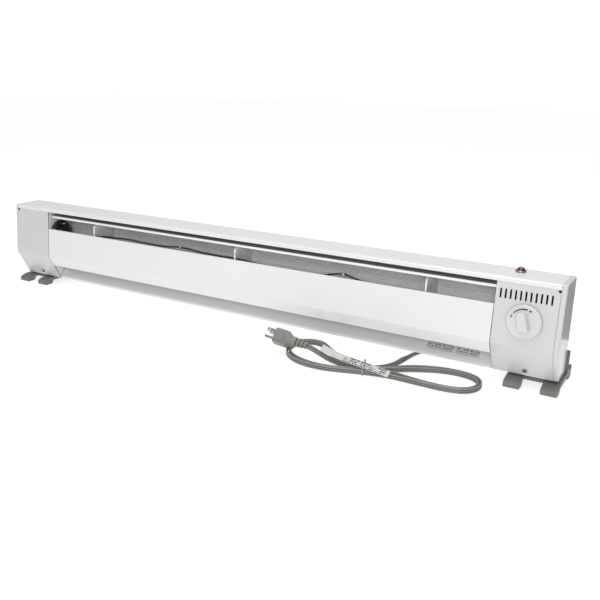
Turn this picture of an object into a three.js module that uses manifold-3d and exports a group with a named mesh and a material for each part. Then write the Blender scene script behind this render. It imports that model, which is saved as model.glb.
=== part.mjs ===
// Portable electric baseboard heater, millimetres, +Z up, front facing -Y, standing on the plane Z = 0.
// X runs along the heater, from the junction end (-X) to the control end (+X).
import * as THREE from 'three';
import { mergeVertices } from 'three/addons/utils/BufferGeometryUtils.js';
import Module from 'manifold-3d';

const wasm = await Module();
wasm.setup();

// Driving dimensions
const LENGTH = 1220;            // enclosure, end to end
const DEPTH = 77;               // front plane to back panel
const HEIGHT = 163.5;           // enclosure, without its feet
const FOOT_HEIGHT = 17;         // floor to the underside of the enclosure
const SHEET = 1.1;              // folded steel
const GAP = 0.4;                // clearance between touching pieces
const LEAN = 10.5;              // how far the front leans back from the chamfer to the top
const END_BOX = 106;            // length of each end compartment
const END_FLANGE = 8;           // front flange of an end panel
const CHAMFER_TOP = 55.5;       // where the front turns into the lower chamfer, above the enclosure's base
const CHAMFER_BACK = 29.5;      // how far back the chamfer's foot lies
const SLOT_BOTTOM = 118.5;      // top edge of the front cover, above the enclosure's base
const HEM_HEIGHT = 32.8;        // bottom hem of the front cover
const LIP_BOTTOM = 155.8;       // lower edge of the top panel's front lip
const VENT_FIRST = 511.7;       // first of the control cover's vents
const VENT_PITCH = 7.85;
const VENT_WIDTH = 3;
const KNOB_X = 553;
const KNOB_Z = 98.5 + FOOT_HEIGHT;
const KNOB_RADIUS = 27.5;
const KNOB_PROUD = 20;          // knob front, ahead of the control cover
const KNOB_TILT = 15 * Math.PI / 180;
const LAMP_X = 528.5;
const LAMP_Y = 53;
const FOOT_INNER = 529;         // a foot's two sides
const FOOT_OUTER = 614;
const FOOT_BACK = 111;          // rear tip of a foot
const FOOT_TAB = 38;            // height of the foot's rear tab above the enclosure's base
const BRACKETS = [-370, 0, 386];
const WIRE_HEIGHTS = [115, 117, 111];  // where the sensing line passes each bracket, above the base
const ELEMENT_Y = 38;
const ELEMENT_Z = 68 + FOOT_HEIGHT;
const FIN_PITCH = 24;
const FIN_REACH = 22;           // half of a fin's width and height
const CORD = 9.6;               // width of the flat three-core cord
const CORD_THICK = 4.6;
const CORD_PITCH = 5.2;         // from strand to strand in the hank
const CORD_REST = 5.1;          // centre line of a strand that stands on edge on the floor
const EXIT = [516, DEPTH, 48];  // where the cord leaves the back panel
const RELIEF_LENGTH = 28;

const BASE = FOOT_HEIGHT;
const TOP = BASE + HEIGHT;
const END = LENGTH / 2;
const BULKHEAD = END - END_BOX;
const CHAMFER_ANGLE = Math.atan2(CHAMFER_BACK, CHAMFER_TOP);
const LEAN_ANGLE = Math.atan2(LEAN, HEIGHT - CHAMFER_TOP);

const paint = { color: 0xecebe7, roughness: 0.42, metalness: 0 };
const steel = { color: 0xb4b8ba, roughness: 0.35, metalness: 0.9 };
const plastic = { color: 0x74736f, roughness: 0.6, metalness: 0 };
const whitePlastic = { color: 0xf0f0ec, roughness: 0.35, metalness: 0 };
const black = { color: 0x1c1b1a, roughness: 0.5, metalness: 0 };
const aluminium = { color: 0xc3c6c8, roughness: 0.4, metalness: 0.8 };
const vinyl = { color: 0x7a7974, roughness: 0.55, metalness: 0 };
const paper = { color: 0xf2f1ec, roughness: 0.8, metalness: 0 };
const brass = { color: 0xb59a5b, roughness: 0.35, metalness: 0.9 };
const redLens = { color: 0x8c1712, roughness: 0.12, metalness: 0 };
const ceramic = { color: 0xe6e0d2, roughness: 0.5, metalness: 0 };

const heater = new THREE.Group();

function add(name, geometry, finish) {
  const mesh = new THREE.Mesh(geometry, new THREE.MeshStandardMaterial(finish));
  mesh.name = name;
  heater.add(mesh);
  return mesh;
}

// --- joining and cutting ---

function solid(geometry) {
  const plain = geometry.clone();
  for (const name of Object.keys(plain.attributes)) {
    if (name !== 'position') plain.deleteAttribute(name);
  }
  const merged = mergeVertices(plain, 1e-4);
  const vertProperties = new Float32Array(merged.attributes.position.array);
  const triVerts = new Uint32Array(merged.index.array);
  return new wasm.Manifold(new wasm.Mesh({ numProp: 3, vertProperties, triVerts }));
}

function geometryOf(manifold) {
  const mesh = manifold.getMesh();
  const geometry = new THREE.BufferGeometry();
  geometry.setAttribute('position', new THREE.BufferAttribute(new Float32Array(mesh.vertProperties), 3));
  geometry.setIndex(new THREE.BufferAttribute(new Uint32Array(mesh.triVerts), 1));
  return geometry;
}

function cut(geometry, ...tools) {
  let body = solid(geometry);
  for (const tool of tools) body = body.subtract(solid(tool));
  return geometryOf(body);
}

function join(...pieces) {
  let body = solid(pieces[0]);
  for (const piece of pieces.slice(1)) body = body.add(solid(piece));
  return geometryOf(body);
}

// --- basic shapes ---

function box(x0, x1, y0, y1, z0, z1) {
  const geometry = new THREE.BoxGeometry(x1 - x0, y1 - y0, z1 - z0);
  geometry.translate((x0 + x1) / 2, (y0 + y1) / 2, (z0 + z1) / 2);
  return geometry;
}

// A polygon of [y, z] points, extruded along X.
function prism(points, x0, x1) {
  const shape = new THREE.Shape(points.map(([y, z]) => new THREE.Vector2(y, z)));
  const geometry = new THREE.ExtrudeGeometry(shape, { depth: x1 - x0, bevelEnabled: false });
  const axes = new THREE.Matrix4().makeBasis(
    new THREE.Vector3(0, 1, 0),
    new THREE.Vector3(0, 0, 1),
    new THREE.Vector3(1, 0, 0),
  );
  geometry.applyMatrix4(axes);
  geometry.translate(x0, 0, 0);
  return geometry;
}

// A [y, z] line moved sideways to its left.
function insetLine(line, distance) {
  return line.map((point, i) => {
    const before = line[Math.max(i - 1, 0)];
    const after = line[Math.min(i + 1, line.length - 1)];
    const a = new THREE.Vector2(point[0] - before[0], point[1] - before[1]).normalize();
    const b = new THREE.Vector2(after[0] - point[0], after[1] - point[1]).normalize();
    if (i === 0) a.copy(b);
    if (i === line.length - 1) b.copy(a);
    const normal = new THREE.Vector2(-a.y - b.y, a.x + b.x).normalize();
    const stretch = distance / (normal.x * -a.y + normal.y * a.x);
    return [point[0] + normal.x * stretch, point[1] + normal.y * stretch];
  });
}

// A bent sheet: the [y, z] line of one face, thickened to the line's left side.
function bentSheet(line, thickness = SHEET) {
  return [...line, ...insetLine(line, thickness).reverse()];
}

// Rounds each inner corner of a [y, z] line with an arc.
function rounded(line, radius, steps = 2) {
  const result = [line[0]];
  for (let i = 1; i < line.length - 1; i += 1) {
    const corner = new THREE.Vector2(...line[i]);
    const toBefore = new THREE.Vector2(...line[i - 1]).sub(corner).normalize();
    const toAfter = new THREE.Vector2(...line[i + 1]).sub(corner).normalize();
    const half = Math.acos(THREE.MathUtils.clamp(toBefore.dot(toAfter), -1, 1)) / 2;
    const reach = radius / Math.tan(half);
    const bisector = toBefore.clone().add(toAfter).normalize();
    const centre = bisector.multiplyScalar(radius / Math.sin(half)).add(corner);
    const start = corner.clone().addScaledVector(toBefore, reach).sub(centre);
    const end = corner.clone().addScaledVector(toAfter, reach).sub(centre);
    const turn = Math.atan2(start.x * end.y - start.y * end.x, start.dot(end));
    for (let k = 0; k <= steps; k += 1) {
      const spoke = start.clone().rotateAround(new THREE.Vector2(), turn * k / steps);
      result.push([centre.x + spoke.x, centre.y + spoke.y]);
    }
  }
  result.push(line[line.length - 1]);
  return result;
}

function turned(profile, sides = 16) {
  return new THREE.LatheGeometry(profile.map(([r, h]) => new THREE.Vector2(r, h)), sides);
}

// A turned solid whose axis, the lathe's own height, points along `direction` from `place`.
function turnedAlong(profile, sides, place, direction) {
  const geometry = turned(profile, sides);
  const axis = new THREE.Vector3(...direction).normalize();
  geometry.applyQuaternion(new THREE.Quaternion().setFromUnitVectors(new THREE.Vector3(0, 1, 0), axis));
  geometry.translate(...place);
  return geometry;
}

function rod(radius, from, to, sides = 12) {
  const start = new THREE.Vector3(...from);
  const span = new THREE.Vector3(...to).sub(start);
  const profile = [[0, 0], [radius, 0], [radius, span.length()], [0, span.length()]];
  return turnedAlong(profile, sides, from, span.toArray());
}

function tube(radius, points, steps, sides = 8) {
  const section = new THREE.Shape();
  for (let i = 0; i < sides; i += 1) {
    const angle = 2 * Math.PI * i / sides;
    const place = [radius * Math.cos(angle), radius * Math.sin(angle)];
    if (i === 0) section.moveTo(...place);
    else section.lineTo(...place);
  }
  const extrudePath = new THREE.CatmullRomCurve3(points.map((p) => new THREE.Vector3(...p)));
  return new THREE.ExtrudeGeometry(section, { steps, extrudePath, bevelEnabled: false });
}

// --- enclosure ---

// The front plane at a height above the enclosure's base.
function frontAt(height) {
  return LEAN * (height - CHAMFER_TOP) / (HEIGHT - CHAMFER_TOP);
}

// Leans a piece back with the front, about the crease at the top of the chamfer.
function leaned(geometry) {
  const crease = BASE + CHAMFER_TOP;
  geometry.translate(0, 0, -crease);
  geometry.rotateX(-LEAN_ANGLE);
  geometry.translate(0, 0, crease);
  return geometry;
}

function backAndTopPanel() {
  const line = rounded([
    [frontAt(LIP_BOTTOM) - 1.5, BASE + LIP_BOTTOM],
    [frontAt(HEIGHT) - 1.5, TOP],
    [DEPTH, TOP],
    [DEPTH, BASE],
    [DEPTH - 13, BASE],
  ].reverse(), 2.5);
  const reach = END - END_FLANGE - GAP / 2;
  const folded = prism(bentSheet(line), -reach, reach);
  const lampHole = rod(6.4, [LAMP_X, LAMP_Y, TOP - 5], [LAMP_X, LAMP_Y, TOP + 5]);
  const cordHole = rod(8.2, [EXIT[0], DEPTH - 5, EXIT[2]], [EXIT[0], DEPTH + 5, EXIT[2]]);
  return cut(folded, lampHole, cordHole, cornerRelief(-RELIEF_X), cornerRelief(RELIEF_X));
}

// A pan that closes one end: a side sheet with a flange all round.
function endPanel(side) {
  const middle = BASE + HEIGHT / 2;
  const outline = rounded([
    [DEPTH, middle - 1],
    [DEPTH, TOP],
    [LEAN, TOP],
    [0, BASE + CHAMFER_TOP],
    [CHAMFER_BACK, BASE],
    [DEPTH, BASE],
    [DEPTH, middle - 2],
  ], 3);
  const outer = side * END;
  const inner = side * (END - END_FLANGE);
  const face = side * (END - SHEET);
  const pan = prism(outline, Math.min(outer, inner), Math.max(outer, inner));
  const cavity = prism(insetLine(outline, SHEET), Math.min(face, inner - side), Math.max(face, inner - side));
  return cut(pan, cavity);
}

function chamferPoint(height, proud = 0) {
  const along = (CHAMFER_TOP - height) / CHAMFER_TOP;
  return [
    CHAMFER_BACK * along - proud * Math.cos(CHAMFER_ANGLE),
    BASE + height - proud * Math.sin(CHAMFER_ANGLE),
  ];
}

const CHAMFER_NORMAL = [0, -Math.cos(CHAMFER_ANGLE), -Math.sin(CHAMFER_ANGLE)];

// Its underside runs back to the back panel's hem and closes the compartment.
function endCover(x0, x1) {
  const line = [
    [frontAt(LIP_BOTTOM + 4), BASE + LIP_BOTTOM + 4],
    [0, BASE + CHAMFER_TOP],
    [CHAMFER_BACK, BASE],
    [DEPTH - 15, BASE],
  ];
  return prism(bentSheet(rounded(line, 2, 1)), x0 + GAP, x1 - GAP);
}

const SCREW_LEFT = -554;
const SCREW_RIGHT = 558;

function screwHole(x) {
  const [y, z] = chamferPoint(10.5);
  const [, ny, nz] = CHAMFER_NORMAL;
  return rod(2.4, [x, y - 6 * ny, z - 6 * nz], [x, y + 6 * ny, z + 6 * nz], 8);
}

const RELIEF_X = END - END_FLANGE - 2.6;

function cornerRelief(x) {
  const height = TOP - 10.8;
  return leaned(rod(2, [x, -5, height], [x, 4, height], 8));
}

function controlCover() {
  const slots = [];
  for (let i = 0; i < 11; i += 1) {
    const x = VENT_FIRST + VENT_PITCH * i;
    slots.push(leaned(box(x - VENT_WIDTH / 2, x + VENT_WIDTH / 2, -3, 4, BASE + 130, BASE + 145.5)));
  }
  const shaftHole = leaned(rod(5.2, [KNOB_X, -3, KNOB_Z], [KNOB_X, 4, KNOB_Z]));
  const plate = endCover(BULKHEAD, END - END_FLANGE);
  return cut(plate, ...slots, shaftHole, screwHole(SCREW_RIGHT), cornerRelief(RELIEF_X));
}

function frontCover() {
  const edge = frontAt(SLOT_BOTTOM);
  const hem = chamferPoint(HEM_HEIGHT);
  const line = [
    [edge + 4, BASE + SLOT_BOTTOM - 6],
    [edge + 4, BASE + SLOT_BOTTOM],
    [edge, BASE + SLOT_BOTTOM],
    [0, BASE + CHAMFER_TOP],
    hem,
    [hem[0] + 8, hem[1] + 3.4],
  ];
  return prism(bentSheet(rounded(line, 1.3, 1)), -BULKHEAD + SHEET, BULKHEAD - SHEET);
}

const PAN_STEP = 5;             // where the pan's slope starts, above the enclosure's base
const PAN_TOP = [68, 50];       // where it ends

function bottomPan() {
  const line = [
    [DEPTH - 14, BASE],
    [CHAMFER_BACK, BASE],
    [CHAMFER_BACK, BASE + PAN_STEP],
    [PAN_TOP[0], BASE + PAN_TOP[1]],
    [PAN_TOP[0], BASE + PAN_TOP[1] + 7],
  ];
  return prism(bentSheet(line.reverse()), -BULKHEAD + 1.6, BULKHEAD - 1.6);
}

function rearReflector() {
  const line = [[DEPTH - 3.2, BASE + 58]];
  for (let i = 0; i < 9; i += 1) {
    const z = BASE + 64 + 9 * i;
    line.push([DEPTH - 3.2, z], [DEPTH - 4.6, z + 1.4], [DEPTH - 4.6, z + 3], [DEPTH - 3.2, z + 4.4]);
  }
  line.push([DEPTH - 3.2, BASE + 146]);
  return prism(bentSheet(line, 0.8), -BULKHEAD + 1.6, BULKHEAD - 1.6);
}

function heatDeflector() {
  const line = [[18, BASE + 141.8], [18, BASE + 146.2], [46, BASE + 154], [DEPTH - 3, BASE + 148.5]];
  return prism(bentSheet(line.reverse(), 0.9), -BULKHEAD + 1.6, BULKHEAD - 1.6);
}

// Divides an end compartment from the heater bay.
function bulkhead(side) {
  const outline = [
    [LEAN + 1.6, TOP - 8.5],
    [2, BASE + CHAMFER_TOP + 1],
    [CHAMFER_BACK + 1.6, BASE + 2.2],
    [DEPTH - 2, BASE + 2.2],
    [DEPTH - 2, TOP - 2],
    [LEAN + 12, TOP - 2],
  ];
  const x = side * BULKHEAD;
  const plate = prism(outline, x - 0.6, x + 0.6);
  const elementHole = rod(7.6, [x - 4, ELEMENT_Y, ELEMENT_Z], [x + 4, ELEMENT_Y, ELEMENT_Z]);
  if (side < 0) return cut(plate, elementHole);
  const wireHole = rod(3, [x - 4, 21, BASE + 112], [x + 4, 21, BASE + 112], 8);
  return cut(plate, elementHole, wireHole);
}

function elementBracket(x, wireHeight) {
  const outline = [
    [frontAt(136) + 5.8, BASE + 136],
    [5.8, BASE + 56],
    [15, BASE + 41],
    [56, BASE + 41],
    [68, BASE + 60],
    [70, BASE + 60],
    [70, BASE + 124],
    [58, BASE + 140],
    [19, BASE + 140],
  ];
  const plate = prism(outline, x - 0.6, x + 0.6);
  const elementHole = rod(4.9, [x - 4, ELEMENT_Y, ELEMENT_Z], [x + 4, ELEMENT_Y, ELEMENT_Z], 8);
  const wireHole = rod(3, [x - 4, 21, BASE + wireHeight], [x + 4, 21, BASE + wireHeight], 8);
  return cut(plate, elementHole, wireHole);
}

add('back_and_top_panel', backAndTopPanel(), paint);
add('left_end_panel', endPanel(-1), paint);
add('right_end_panel', endPanel(1), paint);
add('left_junction_cover', cut(
  endCover(-END + END_FLANGE, -BULKHEAD),
  screwHole(SCREW_LEFT),
  cornerRelief(-RELIEF_X),
), paint);
add('control_cover', controlCover(), paint);
add('front_cover', frontCover(), paint);
add('bottom_pan', bottomPan(), paint);
add('rear_reflector', rearReflector(), steel);
add('heat_deflector', heatDeflector(), paint);
add('left_bulkhead', bulkhead(-1), steel);
add('right_bulkhead', bulkhead(1), steel);
BRACKETS.forEach((x, i) => {
  add(`element_bracket_${i + 1}`, elementBracket(x, WIRE_HEIGHTS[i]), steel);
});

// --- heating element ---

// The fins of one bay between two supports, on their common collar.
function finBay(from, to) {
  const collar = rod(6.4, [from, ELEMENT_Y, ELEMENT_Z], [to, ELEMENT_Y, ELEMENT_Z], 8);
  const count = Math.floor((to - from) / FIN_PITCH);
  const first = (from + to) / 2 - FIN_PITCH * (count - 1) / 2;
  const fins = [];
  for (let i = 0; i < count; i += 1) {
    const x = first + FIN_PITCH * i;
    fins.push(box(x - 0.5, x + 0.5, ELEMENT_Y - FIN_REACH, ELEMENT_Y + FIN_REACH,
      ELEMENT_Z - FIN_REACH, ELEMENT_Z + FIN_REACH));
  }
  const bore = rod(4.4, [from - 2, ELEMENT_Y, ELEMENT_Z], [to + 2, ELEMENT_Y, ELEMENT_Z], 8);
  return cut(join(collar, ...fins), bore);
}

const elementEnd = BULKHEAD + 14;
const sheathEnds = [[-elementEnd, ELEMENT_Y, ELEMENT_Z], [elementEnd, ELEMENT_Y, ELEMENT_Z]];
add('element_sheath', rod(4, sheathEnds[0], sheathEnds[1], 8), steel);
const supports = [-BULKHEAD + 26, ...BRACKETS, BULKHEAD - 26];
for (let i = 0; i < 4; i += 1) {
  add(`element_fins_${i + 1}`, finBay(supports[i] + 4, supports[i + 1] - 4), aluminium);
}

[['left', -1], ['right', 1]].forEach(([name, side]) => {
  const x = side * (BULKHEAD + 6);
  const bushing = [[4.4, -9], [7, -9], [7, 3], [9, 3], [9, 8], [4.4, 8], [4.4, -9]];
  const place = [x - side * 1.8, ELEMENT_Y, ELEMENT_Z];
  add(`element_bushing_${name}`, turnedAlong(bushing, 12, place, [side, 0, 0]), ceramic);
  const pinEnd = side * (elementEnd + GAP);
  add(
    `element_terminal_${name}`,
    rod(1.6, [pinEnd, ELEMENT_Y, ELEMENT_Z], [pinEnd + side * 12, ELEMENT_Y, ELEMENT_Z], 8),
    steel,
  );
});

// --- safety cut-out and its sensing line ---

const limitX = -BULKHEAD + 1.2;
const limitZ = BASE + 108;
const limitBody = [[0, 0], [25.5, 0], [25.5, 9], [24, 11], [15, 11], [15, 17], [13, 19], [0, 19]];
add('high_limit_switch', turnedAlong(limitBody, 20, [limitX, 37, limitZ], [1, 0, 0]), black);
[['upper', 19.5], ['lower', -19.5]].forEach(([name, rise]) => {
  add(
    `limit_terminal_${name}`,
    box(limitX + 11 + GAP, limitX + 20, 33, 41, limitZ + rise - 1, limitZ + rise + 1),
    steel,
  );
});

const sensingLine = [
  [-BULKHEAD + 14.5, 20, BASE + 93],
  [-BULKHEAD + 24, 18, BASE + 95],
  [-452, 17, BASE + 103],
  [-410, 19, BASE + 111],
  [BRACKETS[0], 21, BASE + WIRE_HEIGHTS[0]],
  [-330, 20, BASE + 118],
  [-280, 20, BASE + 120],
  [-240, 19, BASE + 119],
  [-180, 19, BASE + 118.5],
  [-135, 19, BASE + 122],
  [-80, 20, BASE + 118],
  [-30, 21, BASE + 117],
  [BRACKETS[1], 21, BASE + WIRE_HEIGHTS[1]],
  [40, 20, BASE + 115],
  [80, 20, BASE + 111],
  [130, 19, BASE + 110],
  [180, 19, BASE + 112],
  [206, 19, BASE + 118],
  [232, 19, BASE + 122],
  [255, 19, BASE + 117],
  [290, 20, BASE + 111],
  [BRACKETS[2], 21, BASE + WIRE_HEIGHTS[2]],
  [450, 21, BASE + 111],
  [BULKHEAD, 21, BASE + 112],
  [BULKHEAD + 14, 21, BASE + 112],
];
add('limit_sensing_line', tube(1.3, sensingLine, 60, 6), black);
[-135, 232].forEach((x, i) => {
  const clip = cut(box(x - 2, x + 2, 15.8, 22.2, BASE + 118.8, BASE + 125.2),
    box(x - 6, x + 6, 16.8, 21.2, BASE + 119.8, BASE + 124.2));
  add(`sensing_line_clip_${i + 1}`, clip, whitePlastic);
});

// --- thermostat, knob and pilot lamp ---

const thermostat = join(
  box(KNOB_X - 21, KNOB_X + 21, 9, 42, KNOB_Z - 17, KNOB_Z + 17),
  box(KNOB_X - 25, KNOB_X + 25, 6.6, 9.4, KNOB_Z - 14, KNOB_Z + 14),
  rod(4.8, [KNOB_X, 1.4, KNOB_Z], [KNOB_X, 9, KNOB_Z], 10),
);
const shaftBore = rod(3.4, [KNOB_X, -1, KNOB_Z], [KNOB_X, 8, KNOB_Z], 10);
add('thermostat_body', leaned(cut(thermostat, shaftBore)), black);
[-10, 10].forEach((offset, i) => {
  const x = KNOB_X + offset;
  const blade = leaned(box(x - 3.2, x + 3.2, 42.4, 51, KNOB_Z - 0.5, KNOB_Z + 0.5));
  add(`thermostat_terminal_${i + 1}`, blade, brass);
});
add('thermostat_shaft', leaned(rod(3, [KNOB_X, -15, KNOB_Z], [KNOB_X, 7.6, KNOB_Z], 10)), steel);

function knob() {
  const skirt = [
    [0, 0.8],
    [KNOB_RADIUS - 1.5, 0.8],
    [KNOB_RADIUS, 2.4],
    [KNOB_RADIUS, 5],
    [KNOB_RADIUS - 2.5, 7],
    [0, 8.6],
  ];
  const disc = turnedAlong(skirt, 36, [0, 0, 0], [0, -1, 0]);
  const grip = new THREE.Shape();
  const half = 8;
  const reach = 16.5;
  grip.moveTo(half, -reach + half);
  grip.absarc(0, reach - half, half, 0, Math.PI, false);
  grip.absarc(0, -reach + half, half, Math.PI, 2 * Math.PI, false);
  const barShape = { depth: KNOB_PROUD - 6, bevelEnabled: false, curveSegments: 8 };
  const bar = new THREE.ExtrudeGeometry(grip, barShape);
  bar.rotateX(Math.PI / 2);
  bar.translate(0, -6, 0);
  const bore = rod(3.4, [0, 4, 0], [0, -16, 0], 10);
  const whole = cut(join(disc, bar), bore);
  whole.rotateY(-KNOB_TILT);
  whole.translate(KNOB_X, 0, KNOB_Z);
  return leaned(whole);
}
const knobMesh = add('thermostat_knob', knob(), whitePlastic);

const bezel = [[7.2, 0], [9, 0], [9, 1], [8.2, 2.2], [7.2, 2.2], [7.2, 0]];
add('pilot_lamp_bezel', turnedAlong(bezel, 18, [LAMP_X, LAMP_Y, TOP + GAP], [0, 0, 1]), steel);
const lens = [[0, 0], [6.8, 0], [6.8, 2.4], [6.2, 4.6], [4.6, 6.4], [2.2, 7.5], [0, 7.8]];
add('pilot_lamp_lens', turnedAlong(lens, 16, [LAMP_X, LAMP_Y, TOP + 0.2], [0, 0, 1]), redLens);
add('pilot_lamp_body', rod(5.6, [LAMP_X, LAMP_Y, TOP - 28], [LAMP_X, LAMP_Y, TOP - 0.2]), black);

// --- fasteners ---

const screwProfile = [[0, -7], [1.8, -7], [1.8, 0.3], [4, 0.3], [3.8, 1.4], [2.8, 2.3], [1.2, 2.7], [0, 2.7]];

[['left', SCREW_LEFT], ['right', SCREW_RIGHT]].forEach(([name, x]) => {
  const [y, z] = chamferPoint(10.5);
  add(`cover_screw_${name}`, turnedAlong(screwProfile, 12, [x, y, z], CHAMFER_NORMAL), steel);
});

// --- feet ---

const TAB_BACK = DEPTH + 5.5;      // rear face of a foot's tab
const FOOT_HOLES = [546, 602];

function foot(side) {
  const floorToTop = BASE - 0.3;
  const tabTop = BASE + FOOT_TAB;
  const recess = BASE - 2.6;
  const prong = [
    [6, 0],
    [24, 0],
    [29, 8],
    [86, 8],
    [91, 0],
    [FOOT_BACK, 0],
    [FOOT_BACK, 19],
    [FOOT_BACK - 2, 21],
    [FOOT_BACK - 5, 21],
    [FOOT_BACK - 7, 12],
    [94, floorToTop],
    [TAB_BACK, floorToTop],
    [TAB_BACK, tabTop],
    [DEPTH + GAP, tabTop],
    [DEPTH + GAP, floorToTop],
    [42, floorToTop],
    [39, recess],
    [30, recess],
    [22, 13.4],
    [11.5, 11],
    [6, 7.5],
  ];
  const bridge = [[35, 8], [84, 8], [84, floorToTop], [TAB_BACK, tabTop], [DEPTH + GAP, tabTop],
    [DEPTH + GAP, floorToTop], [46, floorToTop], [42, recess], [35, recess - 1]];
  const inner = side * FOOT_INNER;
  const outer = side * FOOT_OUTER;
  const pieces = [
    prism(prong, Math.min(inner, inner + side * 26), Math.max(inner, inner + side * 26)),
    prism(prong, Math.min(outer, outer - side * 26), Math.max(outer, outer - side * 26)),
    prism(bridge, Math.min(inner, outer) + 22, Math.max(inner, outer) - 22),
  ];
  return join(...pieces);
}

[['left', -1], ['right', 1]].forEach(([name, side]) => {
  const holes = FOOT_HOLES.map((x) => {
    return rod(2.4, [side * x, DEPTH - 2, BASE + 18], [side * x, DEPTH + 9, BASE + 18], 8);
  });
  add(`foot_${name}`, cut(foot(side), ...holes), plastic);
  FOOT_HOLES.forEach((x, i) => {
    const place = [side * x, TAB_BACK, BASE + 18];
    const profile = screwProfile.map(([r, h]) => [r, h === -7 ? -4.6 : h]);
    add(`foot_screw_${name}_${i + 1}`, turnedAlong(profile, 10, place, [0, 1, 0]), steel);
  });
});

// --- labels on the air inlet pan ---

// A label on the pan's slope; its corners are given by the way up the slope and the height off it.
function ratingLabel(x0, x1) {
  const slope = new THREE.Vector2(PAN_TOP[0] - CHAMFER_BACK, PAN_TOP[1] - PAN_STEP).normalize();
  const corner = (up, off) => [
    CHAMFER_BACK + slope.x * up - slope.y * off,
    BASE + PAN_STEP + slope.y * up + slope.x * off,
  ];
  return prism([corner(6, 0.4), corner(36.5, 0.4), corner(36.5, 0.8), corner(6, 0.8)], x0, x1);
}
add('rating_label_left', ratingLabel(386, 434.5), paper);
add('rating_label_right', ratingLabel(438, 480), paper);

// --- wiring inside the control compartment ---

[['line', 530, 40], ['neutral', 586, 40]].forEach(([name, x, y]) => {
  const profile = [[0, 0], [5.6, 0], [5, 8], [3.4, 20], [0, 20]];
  add(`wire_nut_${name}`, turnedAlong(profile, 10, [x, y, BASE + 20], [0, 0, 1]), black);
});
add('ground_screw', turnedAlong(screwProfile.map(([r, h]) => [r, Math.max(h, -3)]), 10,
  [596, DEPTH - 5.2, BASE + 66], [0, -1, 0]), brass);

// --- cord, hank and plug ---

const reliefProfile = [[0, -5], [7.6, -5], [7.6, 0.4], [10, 0.4], [10, 3.4], [8, 5], [7.2, 14], [6, 24],
  [5.6, RELIEF_LENGTH], [0, RELIEF_LENGTH]];
add('cord_strain_relief', turnedAlong(reliefProfile, 12, EXIT, [0, 1, 0]), black);

const leadRoute = [
  [516, 105.4, 48],
  [516, 116, 47.3],
  [514.5, 127.5, 44.4],
  [509, 137.6, 38.8],
  [498.5, 144.4, 31],
  [484.5, 146.6, 23],
  [468, 145, 15.6],
  [451, 140.2, 9.6],
  [433, 133.3, 6.2],
  [414, 124, CORD_REST],
  [395, 111.5, CORD_REST],
  [378, 96, CORD_REST],
  [365, 78.5, CORD_REST],
  [357, 58, CORD_REST],
  [353, 36, CORD_REST],
  [352.5, 15, CORD_REST],
  [352, 0.5, CORD_REST],
];
add('cord_lead', tube(CORD / 2 - 0.1, leadRoute, 20), vinyl);

// The centre line of the hank's outermost turn, seen from above, pinched in the middle by its tie.
const hankOutline = new THREE.CatmullRomCurve3([
  [333, -43], [323, -49.3], [311, -51.5], [297.5, -48.8], [278, -40], [247, -27], [228, -14], [212, 1.3],
  [200.6, 9.1], [186.8, 11.8], [173, 9.1], [161.3, 1.3], [153.5, -10.4], [150.8, -24.2], [152.3, -39],
  [157.5, -54], [167, -69], [181, -81], [202.5, -91], [228.5, -95], [258.5, -93], [289, -84], [319, -75],
  [351, -67], [384, -66.5], [420, -67.5], [447, -68], [467.5, -66], [487.5, -60.6], [502.1, -46],
  [507.5, -26], [502.1, -6], [487.5, 8.6], [467.5, 14], [445, 15], [421, 11.5], [398, 3.5], [373, -10],
  [351, -27.5],
].map(([x, y]) => new THREE.Vector3(x, y, 0)), true);

// The outline moved sideways: a positive inset moves it into the loops.
function hankContour(inset, count) {
  const points = [];
  for (let i = 0; i < count; i += 1) {
    const point = hankOutline.getPointAt(i / count);
    const along = hankOutline.getTangentAt(i / count);
    points.push(new THREE.Vector2(point.x - along.y * inset, point.y + along.x * inset));
  }
  return points;
}

function hank() {
  const outline = new THREE.Shape(hankContour(-CORD_THICK / 2 - 0.4, 72));
  const inner = hankContour(2.5 * CORD_PITCH + 0.4, 72);
  [inner.filter((p) => p.x < 284), inner.filter((p) => p.x > 374)].forEach((loop) => {
    outline.holes.push(new THREE.Path(loop));
  });
  const plate = new THREE.ExtrudeGeometry(outline, { depth: CORD, bevelEnabled: false });
  plate.translate(0, 0, CORD_REST - CORD / 2);
  const stub = new THREE.Shape([
    [356.6, 0.1], [347.4, 0.1], [344.5, -13], [334, -32], [345, -42], [356, -17],
  ].map((p) => new THREE.Vector2(...p)));
  const mouth = new THREE.ExtrudeGeometry(stub, { depth: CORD, bevelEnabled: false });
  mouth.translate(0, 0, CORD_REST - CORD / 2);
  return join(plate, mouth);
}
add('cord_hank', hank(), vinyl);

const tailRoute = [
  [205.4, -59.2, 23.8],
  [214, -59.4, 21.2],
  [227, -60, 16.6],
  [241, -60.6, 11.2],
  [256, -61, 7],
  [266, -61.6, CORD_REST],
];
add('cord_tail', tube(CORD / 2 - 0.3, tailRoute, 7), vinyl);

// The plug lies on the hank, rolled so that its earth pin is low at the front.
const plug = new THREE.Group();
const plugAxis = new THREE.Vector3(-0.993, -0.04, 0.11).normalize();
const plugDown = new THREE.Vector3(0, -0.67, -0.74);
plugDown.addScaledVector(plugAxis, -plugDown.dot(plugAxis)).normalize();
const plugSide = new THREE.Vector3().crossVectors(plugDown, plugAxis);
plug.matrix.makeBasis(plugAxis, plugSide, plugDown);
plug.matrix.setPosition(174.5, -60.5, 27.5);
plug.matrix.decompose(plug.position, plug.quaternion, plug.scale);
heater.add(plug);

function addToPlug(name, geometry, finish) {
  const mesh = add(name, geometry, finish);
  plug.add(mesh);
}

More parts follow.
